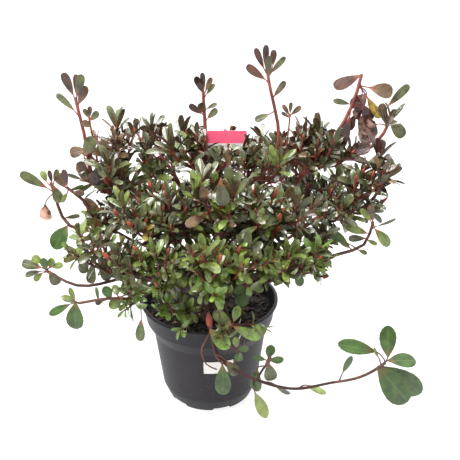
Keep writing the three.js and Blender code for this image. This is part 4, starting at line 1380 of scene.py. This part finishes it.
def build_pot():
    """The pot: wall, rim and foot are turned from one rounded profile that closes on itself, and
    six notches lift the foot. A pad and six sectors with drain holes make its base."""
    inside = OUTSIDE - [WALL, 0]
    corners = [
        [0.0545, BASE_UNDER], [0.0555, 0.0], *OUTSIDE, [RIM_RADIUS, OUTSIDE[-1, 1]],
        [RIM_RADIUS, POT_HEIGHT - 0.001], [RIM_RADIUS - 0.001, POT_HEIGHT], [0.0902, POT_HEIGHT],
        *inside[::-1][:-1], [OUTSIDE[0, 0], BASE_TOP], [0.0545, BASE_TOP],
    ]
    points = turned_points(rounded_profile(corners, 0.0016), 192)
    turn = np.arctan2(points[..., 1], points[..., 0])
    radius = np.hypot(points[..., 0], points[..., 1])
    step, first = np.radians(60), np.radians(286)
    half, flank, rise = 0.0125, 0.0012, 0.0036
    off = np.abs((turn - first + step / 2) % step - step / 2) * radius
    lift = rise * part_way(off, half, half - flank)
    foot = (radius > 0.0535) & (radius < 0.066) & (points[..., 2] < rise)
    points[..., 2] = np.where(foot, np.maximum(points[..., 2], lift), points[..., 2])
    pad = turned_points([[0.018, 0.0], [0.020, BASE_UNDER], [0.020, BASE_TOP]], 96)
    parts = [endless(points), turned_solid(pad, 0.0, BASE_TOP)]
    parts += [base_sector(np.pi * (2 * i + 1) / DRAIN_HOLES) for i in range(DRAIN_HOLES)]
    every, faces = merged(parts)
    made = make_piece("pot_shell", every, faces, [pot_material()], ["pot"])
    sharp_edges(made, 40)


def pot_material():
    """Black nursery plastic: satin, with faint dust in upright streaks, and paler specks of dust
    that thin out from the foot up."""
    first, second, (*values, bump, strength) = FINISHES["pot_plastic"]
    material, tree, shader = new_material("pot_plastic")
    look = varied(tree, first, second, *values)
    place = node(tree, "ShaderNodeTexCoord").outputs["Object"]
    upright = node(tree, "ShaderNodeMapping", {"Vector": place, "Scale": (90, 90, 9)}).outputs[0]
    streaks = maths(tree, "MULTIPLY", ramp(tree, clouds(tree, upright, 1.0, 3.0), 0.52, 0.82), 0.35)
    dusty = mixed(tree, streaks, look["Colour"], linear("#3d3a3b"))
    specks = ramp(tree, clouds(tree, place, 520.0, 2.0), 0.63, 0.69)
    height = node(tree, "ShaderNodeSeparateXYZ", {0: place}).outputs["Z"]
    specked = maths(tree, "MULTIPLY", specks, ramp(tree, height, 0.09, 0.0, 0.0, 0.45))
    colour = mixed(tree, specked, dusty, linear("#6f6b66"))
    lead(tree, shader, colour, look["Roughness"], look["Height"], bump, strength)
    shader.inputs["Specular IOR Level"].default_value = 0.25
    return material


def build_soil():
    """The soil: a floor and a wall that keep clear of the pot, under a disc of rings whose surface
    rises to the trunk and is broken up by noise of three sizes."""
    sides, edge, floor = 220, SOIL["wall"], BASE_TOP + 0.0004
    inner = OUTSIDE[1:4] - [WALL + GAP, 0]
    side = turned_points([[0.02, floor], [0.0600, floor], *inner, [edge, 0.127]], sides)
    radii = np.sqrt(np.linspace(1, 0, 80)[:-1]) * edge
    top = turned_points(np.stack([radii, soil_height(radii)], -1), sides)
    rough = 0.0016 * noise(top, 0.009, 1) + 0.0011 * noise(top, 0.0035, 2)
    top[..., 2] += rough + 0.0014 * noise(top, 0.022, 3)
    points, faces = turned_solid(np.concatenate([side, top]), floor, soil_height(0))
    make_piece("soil_bed", points, faces, [finished("soil")], ["soil"])


def build_chips():
    """Bark chips and crumbs on the soil: flat blocks of eight corners, each pushed about by
    chance, tilted, turned, and laid on the surface."""
    corners = np.array([[x, y, z] for z in (-1, 1) for y in (-1, 1) for x in (-1, 1)]) / 2
    block_faces = np.array([
        [0, 2, 3, 1], [4, 5, 7, 6], [0, 1, 5, 4], [2, 6, 7, 3], [0, 4, 6, 2], [1, 3, 7, 5],
    ])
    for name, (count, sizes) in CHIPS.items():
        reach = np.sqrt(rng.uniform(0.02, 0.97, count)) * 0.085
        turn = rng.uniform(0, 2 * np.pi, count)
        long = rng.uniform(*sizes, count)
        wide = long * rng.uniform(0.35, 0.8, count)
        thick = long * rng.uniform(0.15, 0.4, count)
        size = np.stack([long, wide, thick], -1)[:, None]
        x, y, z = np.moveaxis((corners + rng.uniform(-0.16, 0.16, (count, 8, 3))) * size, -1, 0)
        spin = rng.uniform(0, 2 * np.pi, count)[:, None]
        x, z = spun(x, z, rng.normal(0, 0.35, count)[:, None])
        laid = np.stack([*spun(x, y, spin), z], -1)
        at = np.stack([reach * np.cos(turn), reach * np.sin(turn), soil_height(reach) + 0.0012], -1)
        points = (laid + at[:, None]).reshape(-1, 3)
        faces = [repeated(block_faces, len(corners), count)]
        material = finished(f"chip_{name}")
        made = make_piece(f"soil_chips_{name}", points, faces, [material], [])
        made.data.polygons.foreach_set("use_smooth", np.zeros(len(made.data.polygons), bool))


def plate(front, back):
    """Points and faces of a closed plate between two grids of the same size."""
    rows, columns = front.shape[:2]
    total = rows * columns
    quads = grid_faces(rows, columns)
    index = np.arange(total).reshape(rows, columns)
    edge = np.concatenate([index[0, :-1], index[:-1, -1], index[-1, :0:-1], index[:0:-1, 0]])
    after = np.roll(edge, -1)
    rim = np.stack([edge, edge + total, after + total, after], -1)
    points = np.vstack([front.reshape(-1, 3), back.reshape(-1, 3)])
    return points, np.vstack([quads, quads[:, ::-1] + total, rim])


def upright_plate(half, heights, columns, thick, behind):
    """A plate that faces the front in the tag's plane: half its width at each of its heights, its
    thickness, and how far each point stands behind the plane."""
    x = TAG["x"] + half[:, None] * np.linspace(-1, 1, columns)
    z = np.broadcast_to(heights[:, None], x.shape)
    layers = []
    for off in (-thick / 2, thick / 2):
        y = np.broadcast_to(TAG["y"] + off + behind, x.shape)
        layers.append(np.stack([x, y, z], -1))
    return plate(*layers)


def build_tag():
    """The tag's head is a plate with round corners, whose sides stand back a little: each row is
    drawn in near the top and the bottom by a circle's depth. Its lowest strip is white. The stake
    narrows to a point, and passes behind the head."""
    height, corner, white = TAG["height"], TAG["corner"], TAG["white"]
    rows = np.concatenate([
        np.linspace(0, white, 6)[:-1], np.linspace(white, 1 - white, 5),
        np.linspace(1 - white, 1, 6)[1:],
    ])
    into_corner = np.maximum(corner - np.minimum(rows, 1 - rows) * height, 0)
    half = TAG["width"] / 2 - (corner - np.sqrt(corner**2 - into_corner**2))
    columns = 15
    bend = 0.0006 * np.linspace(-1, 1, columns)[None] ** 2
    points, faces = upright_plate(half, TAG["lower"] + rows * height, columns, 0.001, bend)
    in_strip = points[faces].mean(axis=1)[:, 2] < TAG["lower"] + white * height
    pink, pale = finished("tag_pink"), finished("tag_white")
    slots = in_strip.astype(int)
    head = make_piece("tag_head", points, [faces], [pink, pale], ["plant_tag"], slots)
    sharp_edges(head, 40)

    low, high, half_width = TAG["stake"]
    share = np.linspace(0, 1, 40)
    half = half_width * np.clip(share * 9, 0.12, 1)
    heights = low + share * (high - low)
    behind = np.where(heights > TAG["lower"] - 0.001, 0.0009, 0)[:, None]
    points, faces = upright_plate(half, heights, 3, 0.0008, behind)
    stake = make_piece("tag_stake", points, [faces], [pale], [])
    sharp_edges(stake, 40)


def build_sticker():
    """The sticker: a grid of headings and heights, laid on the taper of the wall, with a paper's
    thickness and one corner that has begun to lift."""
    heights = np.linspace(*STICKER["heights"], 14)
    wall = np.interp(heights, OUTSIDE[:, 1], OUTSIDE[:, 0]) + GAP
    across = np.linspace(-1, 1, 26)
    turn = np.radians(STICKER["heading"]) + STICKER["half"] / STICKER["radius"] * across
    lifted = 0.0007 * part_way(across, 0.6, 1.6) * part_way(heights, 0.086, 0.094)[:, None]
    layers = []
    for depth in (0.0003, 0.0):
        radius = wall[:, None] + depth + lifted
        x, y = radius * np.cos(turn), radius * np.sin(turn)
        layers.append(np.stack([x, y, np.broadcast_to(heights[:, None], x.shape)], -1))
    points, faces = plate(*layers)
    paper = finished("sticker_paper")
    made = make_piece("pot_label", points, [faces], [paper], ["pot_sticker"])
    sharp_edges(made, 40)


def add_light(name, place, aim, size, power):
    """A soft white square lamp at a place, turned to face its aim."""
    lamp = bpy.data.lights.new(name, "AREA")
    lamp.shape = "SQUARE"
    lamp.size = size
    lamp.energy = power
    made = bpy.data.objects.new(name, lamp)
    made.location = place
    made.rotation_euler = (Vector(aim) - Vector(place)).to_track_quat("-Z", "Y").to_euler()
    bpy.context.scene.collection.objects.link(made)


def build_floor():
    """A white floor that glows a little, so that the plant throws no dark shadow on it."""
    mesh = bpy.data.meshes.new("floor")
    mesh.from_pydata([(-8, -8, 0), (8, -8, 0), (8, 8, 0), (-8, 8, 0)], [], [(0, 1, 2, 3)])
    floor = bpy.data.objects.new("floor", mesh)
    bpy.context.scene.collection.objects.link(floor)
    material, _, shader = new_material("floor")
    shader.inputs["Base Color"].default_value = (0.25, 0.25, 0.25, 1)
    shader.inputs["Emission Color"].default_value = (1, 1, 1, 1)
    shader.inputs["Emission Strength"].default_value = 0.8
    shader.inputs["Roughness"].default_value = 0.9
    mesh.materials.append(material)


def build_sky():
    """Soft white light from all round, brightest above and behind."""
    world = bpy.data.worlds.new("studio")
    world.use_nodes = True
    tree = world.node_tree
    back = tree.nodes["Background"]
    way = node(tree, "ShaderNodeTexCoord").outputs["Generated"]
    axes = node(tree, "ShaderNodeSeparateXYZ", {0: way}).outputs
    place = maths(tree, "MULTIPLY_ADD", axes["Y"], 0.5, axes["Z"])
    back.inputs["Color"].default_value = (1, 1, 1, 1)
    tree.links.new(ramp(tree, place, -0.3, 1.1, 0.4, 2.15), back.inputs["Strength"])
    bpy.context.scene.world = world


def build_camera():
    """The camera looks down from the front at the middle of the plant, and its picture keeps
    colours as they are."""
    scene = bpy.context.scene
    camera = bpy.data.cameras.new("camera")
    camera.lens = CAMERA["lens"]
    camera.sensor_width = CAMERA["film"]
    camera.clip_start = 0.05
    made = bpy.data.objects.new("camera", camera)
    pitch = np.radians(CAMERA["pitch"])
    back = CAMERA["distance"] * np.array([0, -np.cos(pitch), np.sin(pitch)])
    made.location = np.array(CAMERA["aim"]) + back
    made.rotation_euler = (np.pi / 2 - pitch, 0, 0)
    scene.collection.objects.link(made)
    scene.camera = made
    scene.view_settings.view_transform = "Standard"


paths = limb_paths()
build_pot()
build_soil()
build_chips()
build_tag()
build_sticker()
build_limbs(paths)
grow_plant(paths)
build_floor()
build_sky()
add_light("key", (-0.5, -0.3, 1.6), (0, 0, 0.25), 1.0, 45)
add_light("back", (0.4, 1.0, 1.3), (0, 0, 0.25), 0.8, 17)
build_camera()
